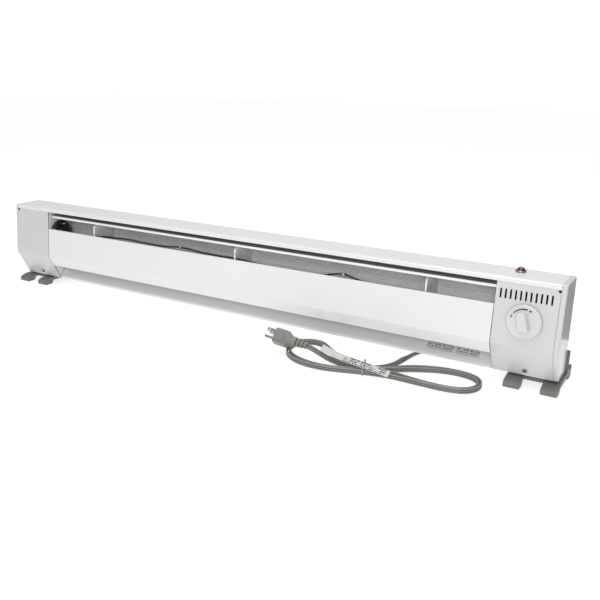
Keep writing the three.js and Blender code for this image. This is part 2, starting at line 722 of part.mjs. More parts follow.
// In the plug's frame X points along the blades, Z to the earth pin, and X = 0 is the body's rear end.
function plugBody() {
  const outline = new THREE.Shape([
    [0, -7], [8, -12.6], [12, -13.4], [31, -13.4], [33, -12], [33, 12], [31, 14], [12, 14], [8, 13], [0, 7],
  ].map((p) => new THREE.Vector2(...p)));
  const body = new THREE.ExtrudeGeometry(outline, {
    depth: 17, bevelEnabled: true, bevelThickness: 3, bevelSize: 2.4, bevelOffset: -2.4, bevelSegments: 2,
  });
  body.translate(0, 0, -8.5);
  body.rotateX(Math.PI / 2);
  const neck = [[0, -30], [6, -30], [6.8, -22], [7.8, -2], [7.8, 2], [0, 2]];
  return join(body, turnedAlong(neck, 12, [0, 0, 0], [1, 0, 0]));
}
addToPlug('plug_body', plugBody(), vinyl);
const BLADE_SPACING = 12.7;
[-1, 1].forEach((side, i) => {
  const y = side * BLADE_SPACING / 2;
  const blade = box(33.4, 50.5, y - 0.75, y + 0.75, -9.2, -2.9);
  const eye = rod(1.6, [46, y - 3, -6], [46, y + 3, -6], 8);
  addToPlug(`plug_blade_${i + 1}`, cut(blade, eye), steel);
});
addToPlug('plug_earth_pin', rod(2.35, [33.4, 0, 6], [53.5, 0, 6], 10), brass);

// A paper tag lies along the tied strands, and a wire tie holds them together.
function cordTag() {
  const route = [[231, -56, 26], [260, -60.5, 20], [293, -65.5, 17.6], [327, -72.5, 17.2], [369, -82, 16.2]];
  const line = new THREE.CatmullRomCurve3(route.map((p) => new THREE.Vector3(...p)));
  const across = new THREE.Vector3(0.1, 0.82, 0.56).normalize().multiplyScalar(6.4);
  const steps = 10;
  const positions = [];
  for (let i = 0; i <= steps; i += 1) {
    const centre = line.getPointAt(i / steps);
    const along = line.getTangentAt(i / steps);
    const lift = new THREE.Vector3().crossVectors(along, across).normalize().multiplyScalar(0.3);
    [[-1, -1], [1, -1], [1, 1], [-1, 1]].forEach(([a, b]) => {
      positions.push(centre.clone().addScaledVector(across, a).addScaledVector(lift, b));
    });
  }
  const index = [];
  for (let i = 0; i < steps; i += 1) {
    for (let k = 0; k < 4; k += 1) {
      const a = 4 * i + k;
      const b = 4 * i + (k + 1) % 4;
      index.push(a, b, b + 4, a, b + 4, a + 4);
    }
  }
  const last = 4 * steps;
  index.push(0, 2, 1, 0, 3, 2, last, last + 1, last + 2, last, last + 2, last + 3);
  const geometry = new THREE.BufferGeometry().setFromPoints(positions);
  geometry.setIndex(index);
  return geometry;
}
add('cord_tag', cordTag(), paper);

function cordTie() {
  const outer = [[-18, 0.2], [-17, 0.2], [-17, 10.6], [17, 10.6], [17, 0.2], [18, 0.2],
    [18, 11.6], [-18, 11.6]];
  const band = prism(outer, -1.6, 1.6);
  band.rotateZ(0.25);
  band.translate(316.5, -63.5, 0);
  return band;
}
add('cord_tie', cordTie(), whitePlastic);

// Y = 0 lies midway between the knob's front and the feet's rear tips.
knobMesh.geometry.computeBoundingBox();
heater.position.y = -(FOOT_BACK + knobMesh.geometry.boundingBox.min.y) / 2;

export default heater;
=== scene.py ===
"""A portable electric baseboard heater with its folded mains cord, in metres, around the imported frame."""

import math

import bmesh
import bpy
from mathutils import Matrix, Vector

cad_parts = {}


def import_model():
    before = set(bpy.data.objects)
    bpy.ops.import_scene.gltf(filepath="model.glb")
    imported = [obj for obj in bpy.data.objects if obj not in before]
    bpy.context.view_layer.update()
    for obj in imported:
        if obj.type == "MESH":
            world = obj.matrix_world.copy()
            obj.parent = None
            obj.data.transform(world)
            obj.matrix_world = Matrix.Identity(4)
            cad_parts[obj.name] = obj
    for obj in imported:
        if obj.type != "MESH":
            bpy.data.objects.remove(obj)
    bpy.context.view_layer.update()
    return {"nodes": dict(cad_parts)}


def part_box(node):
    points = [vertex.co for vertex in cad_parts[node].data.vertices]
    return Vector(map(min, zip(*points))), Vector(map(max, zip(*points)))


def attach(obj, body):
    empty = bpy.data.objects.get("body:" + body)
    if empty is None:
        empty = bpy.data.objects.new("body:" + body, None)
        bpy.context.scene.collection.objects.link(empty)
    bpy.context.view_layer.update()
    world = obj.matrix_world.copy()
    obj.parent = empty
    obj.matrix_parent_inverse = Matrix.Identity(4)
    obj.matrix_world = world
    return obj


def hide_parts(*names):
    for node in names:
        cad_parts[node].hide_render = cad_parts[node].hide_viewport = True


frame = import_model()

# --- the design frame: millimetres, Y from the front plane, Z from the floor ---

MM = 0.001
DEPTH = 77  # front plane to back panel
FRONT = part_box("back_and_top_panel")[1].y - DEPTH * MM


def place(x, y, z):
    """A design point in the row frame."""
    return Vector((x * MM, FRONT + y * MM, z * MM))


def span(node):
    """The lowest and highest corner of a CAD node, in the design frame."""
    return [Vector((p.x, p.y - FRONT, p.z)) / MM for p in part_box(node)]


def middle(node):
    """The middle of a CAD node's box, in the design frame."""
    low, high = span(node)
    return (low + high) / 2


END_LOW, END_HIGH = span("right_end_panel")
END = END_HIGH.x
BASE = END_LOW.z
TOP = END_HIGH.z
HEIGHT = TOP - BASE
FLANGE = END_HIGH.x - END_LOW.x
SHELL_END = span("back_and_top_panel")[1].x
COVER_INNER, COVER_OUTER = (p.x for p in span("control_cover"))
COVER_HALF = span("front_cover")[1].x
PAN_HALF = span("bottom_pan")[1].x
BULKHEAD = middle("right_bulkhead").x
KNOB_X = middle("thermostat_shaft").x
KNOB_Z = BASE + 98.5
LAMP_X, LAMP_Y, _ = middle("pilot_lamp_bezel")

SHEET = 1.1  # folded steel
LEAN = 10.5  # how far the front leans back from the chamfer to the top
CHAMFER_TOP = 55.5  # above the enclosure's base
CHAMFER_BACK = 29.5
HEM_HEIGHT = 32.8
LIP_BOTTOM = 155.8
SLOT_BOTTOM = 118.5
CREASE = BASE + CHAMFER_TOP
LEAN_ANGLE = math.atan2(LEAN, HEIGHT - CHAMFER_TOP)
EDGE = 0.28  # rounding of a cut sheet edge
ON_AXIS = 1e-4  # the radius of a turned profile's points on its axis
BEND_STEPS = 7
CURVE_STEPS = 10


def front_at(height):
    """The front plane at a height above the enclosure's base."""
    return LEAN * (height - CHAMFER_TOP) / (HEIGHT - CHAMFER_TOP)


def leaned(x, y, z):
    """A point of an upright front, moved to where it lies on the leaning one."""
    c, s = math.cos(LEAN_ANGLE), math.sin(LEAN_ANGLE)
    return place(x, y * c + (z - CREASE) * s, CREASE + (z - CREASE) * c - y * s)


FRONT_NORMAL = Vector((0, -math.cos(LEAN_ANGLE), math.sin(LEAN_ANGLE)))


# --- outlines: [y, z] or [x, y] points ---

def rounded(line, radius, steps=BEND_STEPS, closed=False):
    """The line with an arc at each corner. radius is one number, or one for each corner."""
    count = len(line)
    radii = radius if hasattr(radius, "__len__") else [radius] * count
    result = []
    for i, point in enumerate(line):
        if radii[i] <= 0 or (not closed and i in (0, count - 1)):
            result.append(tuple(point))
            continue
        corner = Vector(point)
        before = (Vector(line[i - 1]) - corner).normalized()
        after = (Vector(line[(i + 1) % count]) - corner).normalized()
        half = math.acos(max(-1, min(1, before.dot(after)))) / 2
        centre = corner + (before + after).normalized() * radii[i] / math.sin(half)
        start = corner + before * radii[i] / math.tan(half) - centre
        end = corner + after * radii[i] / math.tan(half) - centre
        turn = math.atan2(start.x * end.y - start.y * end.x, start.dot(end))
        for k in range(steps + 1):
            angle = turn * k / steps
            spoke = Matrix.Rotation(angle, 2) @ start
            result.append(tuple(centre + spoke))
    return result


def rectangle(a0, b0, a1, b1):
    """The corners of a rectangle, from its lowest corner round to the left."""
    return [(a0, b0), (a1, b0), (a1, b1), (a0, b1)]


def circle(radius, count, start=0.0, centre=(0, 0)):
    """Points round a circle."""
    angles = [start + 2 * math.pi * k / count for k in range(count)]
    return [(centre[0] + radius * math.cos(t), centre[1] + radius * math.sin(t)) for t in angles]


def inset(line, distance, closed=False):
    """The line moved sideways to its left."""
    count = len(line)
    result = []
    for i in range(count):
        here = Vector(line[i])
        before = Vector(line[i - 1]) if closed or i > 0 else None
        after = Vector(line[(i + 1) % count]) if closed or i < count - 1 else None
        a = (here - before).normalized() if before else (after - here).normalized()
        b = (after - here).normalized() if after else a
        normal = Vector((-a.y - b.y, a.x + b.x)).normalized()
        result.append(tuple(here + normal * distance / (normal.x * -a.y + normal.y * a.x)))
    return result


def bent_sheet(line, radius, thickness=SHEET):
    """The closed outline of a folded sheet. line is its outer face, with the metal on its left."""
    outer = rounded(line, radius)
    return outer + inset(outer, thickness)[::-1]


def smooth_line(points, closed=False):
    """A centripetal Catmull-Rom curve through the points."""
    points = [Vector(p) for p in points]
    count = len(points)
    result = []
    for i in range(count if closed else count - 1):
        p1, p2 = points[i], points[(i + 1) % count]
        p0 = points[i - 1] if closed or i > 0 else 2 * p1 - p2
        p3 = points[(i + 2) % count] if closed or i < count - 2 else 2 * p2 - p1
        t1 = max((p1 - p0).length, 1e-6) ** 0.5
        t2 = t1 + max((p2 - p1).length, 1e-6) ** 0.5
        t3 = t2 + max((p3 - p2).length, 1e-6) ** 0.5
        for k in range(CURVE_STEPS):
            t = t1 + (t2 - t1) * k / CURVE_STEPS
            a1 = p0.lerp(p1, t / t1)
            a2 = p1.lerp(p2, (t - t1) / (t2 - t1))
            a3 = p2.lerp(p3, (t - t2) / (t3 - t2))
            result.append(a1.lerp(a2, t / t2).lerp(a2.lerp(a3, (t - t1) / (t3 - t1)), (t - t1) / (t2 - t1)))
    if not closed:
        result.append(points[-1])
    return result


def even_steps(line, step):
    """The polyline resampled at equal steps."""
    total = sum((b - a).length for a, b in zip(line, line[1:]))
    count = max(2, round(total / step))
    result = [line[0].copy()]
    walked, target = 0.0, total / count
    for a, b in zip(line, line[1:]):
        length = (b - a).length
        while length > 0 and walked + length >= target - 1e-9 and len(result) < count:
            result.append(a.lerp(b, (target - walked) / length))
            target = total * len(result) / count
        walked += length
    result.append(line[-1].copy())
    return result


# --- meshes ---

def add_object(name, data):
    thing = bpy.data.objects.new(name, data)
    bpy.context.scene.collection.objects.link(thing)
    return thing


def clean(mesh, gap=0.0):
    """Joins the points that lie closer than gap metres, and turns the faces outwards."""
    work = bmesh.new()
    work.from_mesh(mesh)
    if gap:
        bmesh.ops.remove_doubles(work, verts=work.verts, dist=gap)
    bmesh.ops.recalc_face_normals(work, faces=work.faces)
    work.to_mesh(mesh)
    work.free()


def new_piece(name, points, faces):
    """A piece from points that are already in the row frame."""
    mesh = bpy.data.meshes.new(name)
    mesh.from_pydata([tuple(p) for p in points], [], faces)
    clean(mesh)
    return add_object(name, mesh)


def slab(name, outline, low, high, toward):
    """A closed outline of pairs extruded along a third axis; toward(a, b, c) gives the point."""
    count = len(outline)
    points = [toward(a, b, c) for c in (low, high) for a, b in outline]
    sides = [(i, (i + 1) % count, count + (i + 1) % count, count + i) for i in range(count)]
    return new_piece(name, points, [tuple(range(count)), tuple(range(count, 2 * count)), *sides])


def prism(name, outline, x0, x1):
    """A [y, z] outline extruded along X."""
    return slab(name, outline, x0, x1, lambda y, z, x: place(x, y, z))


def lined_sheet(name, line, radius, ends, face):
    """A folded sheet with one finish outside and a near-black painted shade on its inner face. line is its
    outer face.
    """
    outline = bent_sheet(line, radius)
    sheet = prism(name, outline, *ends)
    sheet.data.materials.append(face)
    sheet.data.materials.append(INNER_PAINTED_SHADE)
    caps, half = 2, len(outline) // 2
    for i in range(half, 2 * half - 1):
        sheet.data.polygons[caps + i].material_index = 1
    return sheet


def loft(name, rings, start=True, end=True, around=False):
    """A skin through rings of equal point counts, closed at its start and end or joined around."""
    count = len(rings[0])
    points = [p for ring in rings for p in ring]
    faces = []
    for k in range(len(rings) if around else len(rings) - 1):
        here, there = k * count, ((k + 1) % len(rings)) * count
        for i in range(count):
            j = (i + 1) % count
            faces.append((here + i, here + j, there + j, there + i))
    if start and not around:
        faces.append(tuple(range(count)))
    if end and not around:
        faces.append(tuple(range((len(rings) - 1) * count, len(rings) * count)))
    return new_piece(name, points, faces)


def revolved(name, profile, sides, toward):
    """A closed [radius, height] profile turned round; toward(a, b, height) gives the point."""
    rings = []
    for c, s in circle(1, sides):
        rings.append([toward(max(r, ON_AXIS) * c, max(r, ON_AXIS) * s, h) for r, h in profile])
    piece = loft(name, rings, around=True)
    clean(piece.data, 2e-6)
    return piece


def upright_frame(centre, axis):
    """The function that places (a, b, height) round an axis through a design point."""
    axis = Vector(axis).normalized()
    across = axis.orthogonal().normalized()
    side = axis.cross(across)
    origin = place(*centre)
    return lambda a, b, height: origin + (across * a + side * b + axis * height) * MM


def turned(name, profile, centre, axis, sides):
    """A closed [radius, height] profile turned about an axis through a design point."""
    return revolved(name, profile, sides, upright_frame(centre, axis))


def heading(line, i):
    """The direction of a line at one of its points."""
    return (line[min(i + 1, len(line) - 1)] - line[max(i - 1, 0)]).normalized()


def carried(line, section):
    """Rings of [side, up] points along a line of design points; section(i) gives those of one step."""
    rings = []
    for i, centre in enumerate(line):
        ahead = heading(line, i)
        side = ahead.cross(Vector((0, 0, 1))).normalized()
        up = side.cross(ahead)
        rings.append([place(*(centre + side * a + up * b)) for a, b in section(i)])
    return rings


def bake(piece):
    """Turns the piece's modifiers into its mesh."""
    bpy.context.view_layer.update()
    graph = bpy.context.evaluated_depsgraph_get()
    mesh = bpy.data.meshes.new_from_object(piece.evaluated_get(graph))
    piece.modifiers.clear()
    piece.data = mesh


def combine(piece, tools, operation="DIFFERENCE"):
    """Cuts the tools from the piece, or joins them to it, and removes the tools."""
    for tool in tools:
        modifier = piece.modifiers.new(operation.lower(), "BOOLEAN")
        modifier.operation = operation
        modifier.solver = "EXACT"
        modifier.object = tool
    bake(piece)
    for tool in tools:
        bpy.data.objects.remove(tool)
    return piece


def merged(name, pieces):
    """Several separate meshes as one object."""
    work = bmesh.new()
    for piece in pieces:
        work.from_mesh(piece.data)
        bpy.data.objects.remove(piece)
    mesh = bpy.data.meshes.new(name)
    work.to_mesh(mesh)
    work.free()
    return add_object(name, mesh)


def thicken(piece, thickness, offset=0, lining=0):
    """Gives an open skin its thickness. lining is how far on the inner face's material is."""
    solid = piece.modifiers.new("sheet", "SOLIDIFY")
    solid.thickness = thickness * MM
    solid.offset = offset
    solid.material_offset = lining
    bake(piece)


def soften(piece, width=EDGE, segments=2, angle=32):
    """Rounds the sharp edges, and shades the piece smoothly between them."""
    for polygon in piece.data.polygons:
        polygon.use_smooth = True
    if width:
        bevel = piece.modifiers.new("edges", "BEVEL")
        bevel.width = width * MM
        bevel.segments = segments
        bevel.limit_method = "ANGLE"
        bevel.angle_limit = math.radians(angle)
    normals = piece.modifiers.new("normals", "WEIGHTED_NORMAL")
    normals.keep_sharp = True
    normals.weight = 80
    return piece


def dress(piece, material, slot, *nodes, body="heater"):
    """Gives a new piece its finish and its body, and hides the CAD nodes that it stands for."""
    if material:
        piece.data.materials.clear()
        piece.data.materials.append(material)
    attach(piece, body)
    if nodes:
        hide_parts(*nodes)
    return piece


def dress_node(node, material, width):
    """Keeps a CAD node's shape, with its finish and softened edges."""
    piece = frame["nodes"][node]
    piece.data.materials.clear()
    piece.data.materials.append(material)
    joined = piece.modifiers.new("joined", "WELD")
    joined.merge_threshold = 5e-6
    return soften(piece, width)


# --- materials ---

def fill(node, **values):
    """Sets a node's inputs by name, with _ for each space."""
    for name, value in values.items():
        node.inputs[name.replace("_", " ")].default_value = value
    return node


class Finish:
    """A Principled material with helpers for its procedural nodes."""

    def __init__(self, name, colour, roughness, metallic=0.0):
        self.material = bpy.data.materials.new(name)
        self.material.use_nodes = True
        self.tree = self.material.node_tree
        self.shader = self.tree.nodes["Principled BSDF"]
        fill(self.shader, Base_Color=(*colour, 1), Roughness=roughness, Metallic=metallic)
        self.colour = colour
        self.roughness = roughness
        self.bumped = None

    def link(self, source, target):
        self.tree.links.new(source, target)

    def noise(self, scale, detail, stretch=(1, 1, 1)):
        """A noise over the object's own coordinates, in metres; scale is features per metre."""
        coordinates = self.tree.nodes.new("ShaderNodeTexCoord")
        mapping = fill(self.tree.nodes.new("ShaderNodeMapping"), Scale=stretch)
        texture = fill(self.tree.nodes.new("ShaderNodeTexNoise"), Scale=scale, Detail=detail)
        self.link(coordinates.outputs["Object"], mapping.inputs["Vector"])
        self.link(mapping.outputs["Vector"], texture.inputs["Vector"])
        return texture.outputs["Fac"]

    def ramp(self, source, low=0, high=1, start=0.35, stop=0.65):
        node = self.tree.nodes.new("ShaderNodeMapRange")
        fill(node, From_Min=start, From_Max=stop, To_Min=low, To_Max=high)
        self.link(source, node.inputs["Value"])
        return node.outputs["Result"]

    def tone(self, factor, other, amount=1.0):
        """Mixes the base colour with another one."""
        node = self.tree.nodes.new("ShaderNodeMix")
        node.data_type = "RGBA"
        before = self.shader.inputs["Base Color"]
        if before.links:
            self.link(before.links[0].from_socket, node.inputs[6])
        else:
            node.inputs[6].default_value = before.default_value
        node.inputs[7].default_value = (*other, 1)
        if amount != 1.0:
            factor = self.ramp(factor, 0.0, amount, 0.0, 1.0)
        self.link(factor, node.inputs[0])
        self.link(node.outputs[2], before)

    def mottle(self, source, share, amount=1.0, start=0.35, stop=0.65):
        """Mixes in a share of the colour where the source is high."""
        other = tuple(share * c for c in self.colour)
        self.tone(self.ramp(source, start=start, stop=stop), other, amount)

    def uneven_gloss(self, source, spread):
        low, high = self.roughness - spread, self.roughness + spread
        self.link(self.ramp(source, low, high), self.shader.inputs["Roughness"])

    def bump(self, source, height, strength):
        """Adds relief of that height in millimetres."""
        node = fill(self.tree.nodes.new("ShaderNodeBump"), Strength=strength, Distance=height * MM)
        self.link(source, node.inputs["Height"])
        if self.bumped:
            self.link(self.bumped, node.inputs["Normal"])
        self.bumped = node.outputs["Normal"]
        self.link(self.bumped, self.shader.inputs["Normal"])


def enamel(name, colour):
    """Glossy baked enamel with orange peel and a little dust."""
    finish = Finish(name, colour, 0.34)
    fill(finish.shader, Coat_Weight=0.55, Coat_Roughness=0.07, Coat_IOR=1.48)
    dust = finish.noise(60, 5)
    finish.mottle(finish.noise(5, 3), 0.97)
    finish.mottle(dust, 0.92, 0.5, 0.62, 0.85)
    finish.uneven_gloss(dust, 0.04)
    finish.bump(finish.noise(420, 2), 0.02, 0.35)
    return finish.material


def galvanised(name, colour, roughness, metallic):
    """Rolled sheet with spangles."""
    finish = Finish(name, colour, roughness, metallic)
    rolling = finish.noise(90, 4, (0.006, 1, 1))
    spangle = fill(finish.tree.nodes.new("ShaderNodeTexVoronoi"), Scale=160)
    coordinates = finish.tree.nodes.new("ShaderNodeTexCoord")
    finish.link(coordinates.outputs["Object"], spangle.inputs["Vector"])
    finish.mottle(rolling, 0.80)
    finish.mottle(spangle.outputs["Distance"], 1.03, 0.4, 0.0, 0.6)
    finish.uneven_gloss(rolling, 0.08)
    finish.bump(rolling, 0.12, 0.5)
    return finish.material


def plated(name, colour, roughness):
    finish = Finish(name, colour, roughness, 0.95)
    wear = finish.noise(350, 4)
    finish.mottle(wear, 0.7)
    finish.uneven_gloss(wear, 0.09)
    finish.bump(wear, 0.02, 0.4)
    return finish.material


def moulding(name, colour, roughness, grain, height, share):
    """A moulded skin, as a finish that can be worked on."""
    finish = Finish(name, colour, roughness)
    skin = finish.noise(grain, 3)
    finish.mottle(finish.noise(45, 4), share)
    finish.uneven_gloss(skin, 0.06)
    finish.bump(skin, height, 0.6)
    return finish


def moulded(name, colour, roughness, grain, height, share):
    return moulding(name, colour, roughness, grain, height, share).material


def grooved_vinyl(name, colour, groove_shade_colour):
    """Cord vinyl with painted shade, a darker colour, down in the grooves between its cores."""
    finish = moulding(name, colour, 0.42, 1300, 0.03, 0.88)
    groove = finish.tree.nodes.new("ShaderNodeAttribute")
    groove.attribute_name = "groove"
    finish.tone(groove.outputs["Fac"], groove_shade_colour)
    return finish.material


def ribbed_plastic(name, colour, roughness):
    """Moulded plastic with fine ribs along Y."""
    finish = Finish(name, colour, roughness)
    ribs = finish.noise(520, 2, (1, 0.015, 0.25))
    broad = finish.noise(45, 4)
    finish.mottle(ribs, 0.74)
    finish.mottle(broad, 0.85, 0.5)
    finish.uneven_gloss(broad, 0.06)
    finish.bump(ribs, 0.25, 0.7)
    return finish.material


def printed_paper(name, paper, rows, dashes, ink, first, last):
    """Paper stock with rows of illegible grey dashes between two places along its length."""
    finish = Finish(name, paper, 0.75)
    finish.bump(finish.noise(900, 5), 0.03, 0.5)
    nodes = finish.tree.nodes
    uv = nodes.new("ShaderNodeUVMap")
    split = nodes.new("ShaderNodeSeparateXYZ")
    finish.link(uv.outputs["UV"], split.inputs["Vector"])

    def math_node(operation, *values):
        node = nodes.new("ShaderNodeMath")
        node.operation = operation
        for socket, value in zip(node.inputs, values):
            if isinstance(value, (int, float)):
                socket.default_value = value
            else:
                finish.link(value, socket)
        return node.outputs[0]

    def near(value, target, reach):
        offset = math_node("ABSOLUTE", math_node("SUBTRACT", value, target))
        return math_node("LESS_THAN", offset, reach)

    along, across = split.outputs["X"], split.outputs["Y"]
    row = math_node("FLOOR", math_node("MULTIPLY", across, rows))
    in_row = math_node("FRACT", math_node("MULTIPLY", across, rows))
    seed = nodes.new("ShaderNodeCombineXYZ")
    finish.link(math_node("MULTIPLY", along, dashes), seed.inputs["X"])
    finish.link(math_node("MULTIPLY", row, 7.3), seed.inputs["Y"])
    speckle = fill(nodes.new("ShaderNodeTexNoise"), Scale=1.0, Detail=1.0)
    finish.link(seed.outputs["Vector"], speckle.inputs["Vector"])
    mask = math_node("GREATER_THAN", speckle.outputs["Fac"], 0.47)
    limits = [
        near(in_row, 0.5, 0.28),
        near(across, 0.5, 0.42),
        math_node("GREATER_THAN", along, first),
        math_node("LESS_THAN", along, last),
    ]
    for limit in limits:
        mask = math_node("MULTIPLY", mask, limit)
    finish.tone(mask, ink)
    return finish.material


def red_lens():
    finish = Finish("red_lens", (0.16, 0.004, 0.005), 0.10)
    fill(finish.shader, Coat_Weight=0.8, Coat_Roughness=0.04, Transmission_Weight=0.15, IOR=1.5)
    flutes = finish.noise(260, 2)
    finish.tone(finish.ramp(flutes), (0.045, 0.001, 0.002))
    finish.bump(flutes, 0.08, 0.3)
    return finish.material


ENAMEL = enamel("baked_enamel", (0.70, 0.70, 0.695))
# A darker, cooler copy of the white enamel: painted shade on the end panels and the end covers.
END_PAINTED_SHADE = enamel("end_painted_shade", (0.545, 0.55, 0.56))
# A brighter copy of the white enamel: a painted highlight on the deflector's front hem.
HEM_PAINTED_HIGHLIGHT = enamel("hem_painted_highlight", (0.88, 0.88, 0.87))
# Near-black painted shade for the inner faces of the sheets, which darkens the vents and the slot.
INNER_PAINTED_SHADE = enamel("inner_painted_shade", (0.085, 0.09, 0.085))
# A dark copy of the enamel: painted shade on the deflector behind its hem.
DEFLECTOR_PAINTED_SHADE = enamel("deflector_painted_shade", (0.27, 0.28, 0.27))
# Galvanised sheet for the inner plates, brightened towards white as painted light for the dim inside of the
# case.
GALVANISED_PAINTED_LIGHT = galvanised("galvanised_painted_light", (0.84, 0.86, 0.87), 0.45, 0.08)
# A near-white, non-metal copy of the galvanised sheet, brightened as painted light for the dim inside of the
# case.
REFLECTOR_PAINTED_LIGHT = galvanised("reflector_painted_light", (0.93, 0.94, 0.95), 0.45, 0.0)
HEAT_STEEL = plated("element_sheath_steel", (0.33, 0.30, 0.27), 0.42)
FIN_METAL = galvanised("mill_aluminium", (0.62, 0.63, 0.64), 0.36, 0.72)
CERAMIC = moulded("bushing_ceramic", (0.72, 0.67, 0.58), 0.6, 700, 0.05, 0.9)
TERMINAL = plated("terminal_plating", (0.70, 0.69, 0.66), 0.28)
PHENOLIC = moulded("black_phenolic", (0.022, 0.020, 0.018), 0.38, 900, 0.02, 0.6)
SLEEVE = moulded("line_sleeve", (0.030, 0.028, 0.026), 0.5, 900, 0.03, 0.7)
NYLON = moulded("clip_nylon", (0.42, 0.42, 0.40), 0.42, 900, 0.02, 0.94)
BRASS = plated("plain_brass", (0.36, 0.30, 0.17), 0.34)
KNOB_WHITE = moulded("knob_plastic", (0.575, 0.58, 0.59), 0.26, 600, 0.01, 0.97)
INK = moulded("dark_print", (0.018, 0.018, 0.02), 0.45, 900, 0.01, 0.8)
CHROME = plated("bezel_chrome", (0.40, 0.37, 0.34), 0.22)
LENS = red_lens()
ZINC = plated("zinc_plating", (0.20, 0.195, 0.18), 0.30)
FOOT_GREY = ribbed_plastic("foot_plastic", (0.165, 0.165, 0.152), 0.5)
TAG_PAPER = printed_paper("tag_paper", (0.50, 0.50, 0.49), 3, 42, (0.05, 0.05, 0.055), 0.34, 0.95)
LABEL_PAPER = printed_paper("label_paper", (0.62, 0.62, 0.615), 7, 60, (0.03, 0.03, 0.035), 0.02, 0.98)
WIRE_NUT = moulded("wire_nut_plastic", (0.42, 0.20, 0.03), 0.4, 900, 0.02, 0.85)
VINYL = moulded("cord_vinyl", (0.20, 0.198, 0.182), 0.42, 1300, 0.03, 0.88)
# The third colour is the painted shade in the grooves between the cores.
CORD_VINYL = grooved_vinyl("cord_skin", (0.215, 0.213, 0.196), (0.012, 0.012, 0.011))
DARK_VINYL = moulded("relief_vinyl", (0.035, 0.035, 0.033), 0.45, 1300, 0.03, 0.8)
BLADE = plated("blade_plating", (0.36, 0.355, 0.34), 0.3)
TIE_WHITE = moulded("tie_coating", (0.34, 0.34, 0.33), 0.5, 1400, 0.03, 0.82)


# --- camera, light and floor ---

EYE = Vector((0.7960, -1.1410, 0.4832))
LOOK = Vector((-0.48281, 0.82244, -0.30078)).normalized()
ROLL_RIGHT = Vector((0.8604, 0.50948, 0.0122))


def camera():
    data = bpy.data.cameras.new("photo_view")
    data.lens = 43.99
    data.sensor_width = 36
    data.clip_start = 0.05
    data.clip_end = 60
    view = add_object("photo_view", data)
    right = (ROLL_RIGHT - LOOK * ROLL_RIGHT.dot(LOOK)).normalized()
    up = right.cross(LOOK)
    basis = Matrix((right, up, -LOOK)).transposed().to_4x4()
    view.matrix_world = Matrix.Translation(EYE) @ basis
    bpy.context.scene.camera = view


def area_light(name, position, target, size, power, colour):
    data = bpy.data.lights.new(name, "AREA")
    data.shape = "RECTANGLE"
    data.size, data.size_y = size
    data.energy = power
    data.color = colour
    lamp = add_object(name, data)
    lamp.location = position
    lamp.rotation_euler = (Vector(target) - Vector(position)).to_track_quat("-Z", "Y").to_euler()


def world():
    """A white studio that is darker towards +X, and plain white to the camera."""
    studio = bpy.data.worlds.new("studio")
    studio.use_nodes = True
    nodes, links = studio.node_tree.nodes, studio.node_tree.links
    direction = nodes.new("ShaderNodeTexCoord")
    split = nodes.new("ShaderNodeSeparateXYZ")
    links.new(direction.outputs["Generated"], split.inputs["Vector"])
    side = fill(nodes.new("ShaderNodeMapRange"), From_Min=0.30, From_Max=0.85, To_Min=0.62, To_Max=0.20)
    side.interpolation_type = "SMOOTHSTEP"
    links.new(split.outputs["X"], side.inputs["Value"])
    rays = nodes.new("ShaderNodeLightPath")
    seen = nodes.new("ShaderNodeMix")
    seen.inputs[3].default_value = 1.05
    links.new(rays.outputs["Is Camera Ray"], seen.inputs[0])
    links.new(side.outputs["Result"], seen.inputs[2])
    links.new(seen.outputs[0], nodes["Background"].inputs["Strength"])
    fill(nodes["Background"], Color=(1.0, 1.0, 1.0, 1))
    bpy.context.scene.world = studio


def sheet_of_studio(name, corners, height, finish, grain, other):
    """A level sheet that belongs to the studio, with a faint second colour."""
    piece = new_piece(name, [Vector((x, y, height)) for x, y in corners], [(0, 1, 2, 3)])
    finish.tone(finish.ramp(finish.noise(grain, 2)), other)
    piece.data.materials.append(finish.material)
    return piece


def floor():
    half = 9.0
    finish = Finish("pale_floor", (0.42, 0.42, 0.42), 0.7)
    fill(finish.shader, Emission_Color=(1, 1, 1, 1), Emission_Strength=0.72, Specular_IOR_Level=0.1)
    corners = rectangle(-half, -half, half, half)
    sheet_of_studio("studio_floor", corners, -0.0003, finish, 3, (0.43, 0.43, 0.43))


def dark_card():
    """A dark surface past the heater's right rear corner, which only reflections see."""
    finish = Finish("dark_cloth", (0.05, 0.049, 0.047), 0.9)
    corners = rectangle(0.632, 0.235, 2.6, 3.2)
    card = sheet_of_studio("dark_card", corners, 0.0005, finish, 8, (0.06, 0.058, 0.055))
    card.visible_camera = False
    card.visible_shadow = False
    card.visible_diffuse = False


# --- cord, hank and plug ---

CORD_WIDTH = 9.6
CORD_PITCH = 4.4  # from strand to strand in the hank
LOBE = 1.72  # radius of one core
CORE_PITCH = CORD_WIDTH / 2 - LOBE
CORD_STEP = 2.6
RELAXING = 40  # passes that even out the bends
CORD_EXIT = (516, 77, 48)
ON_EDGE = 5.1  # height of the cord's middle where it stands on edge
LIES_DOWN = (150, 215)  # the stretch of the cord where it turns flat behind the case
STANDS_UP = (268, 330)  # and where it turns on edge again for the hank
FLAT_END = 310  # no flat strand past this length
TWIST = (120, 40)  # the tail's twist, by its distance from the plug
PLUG_UPRIGHT = 48 / 90  # the share of a right angle that is left at the plug

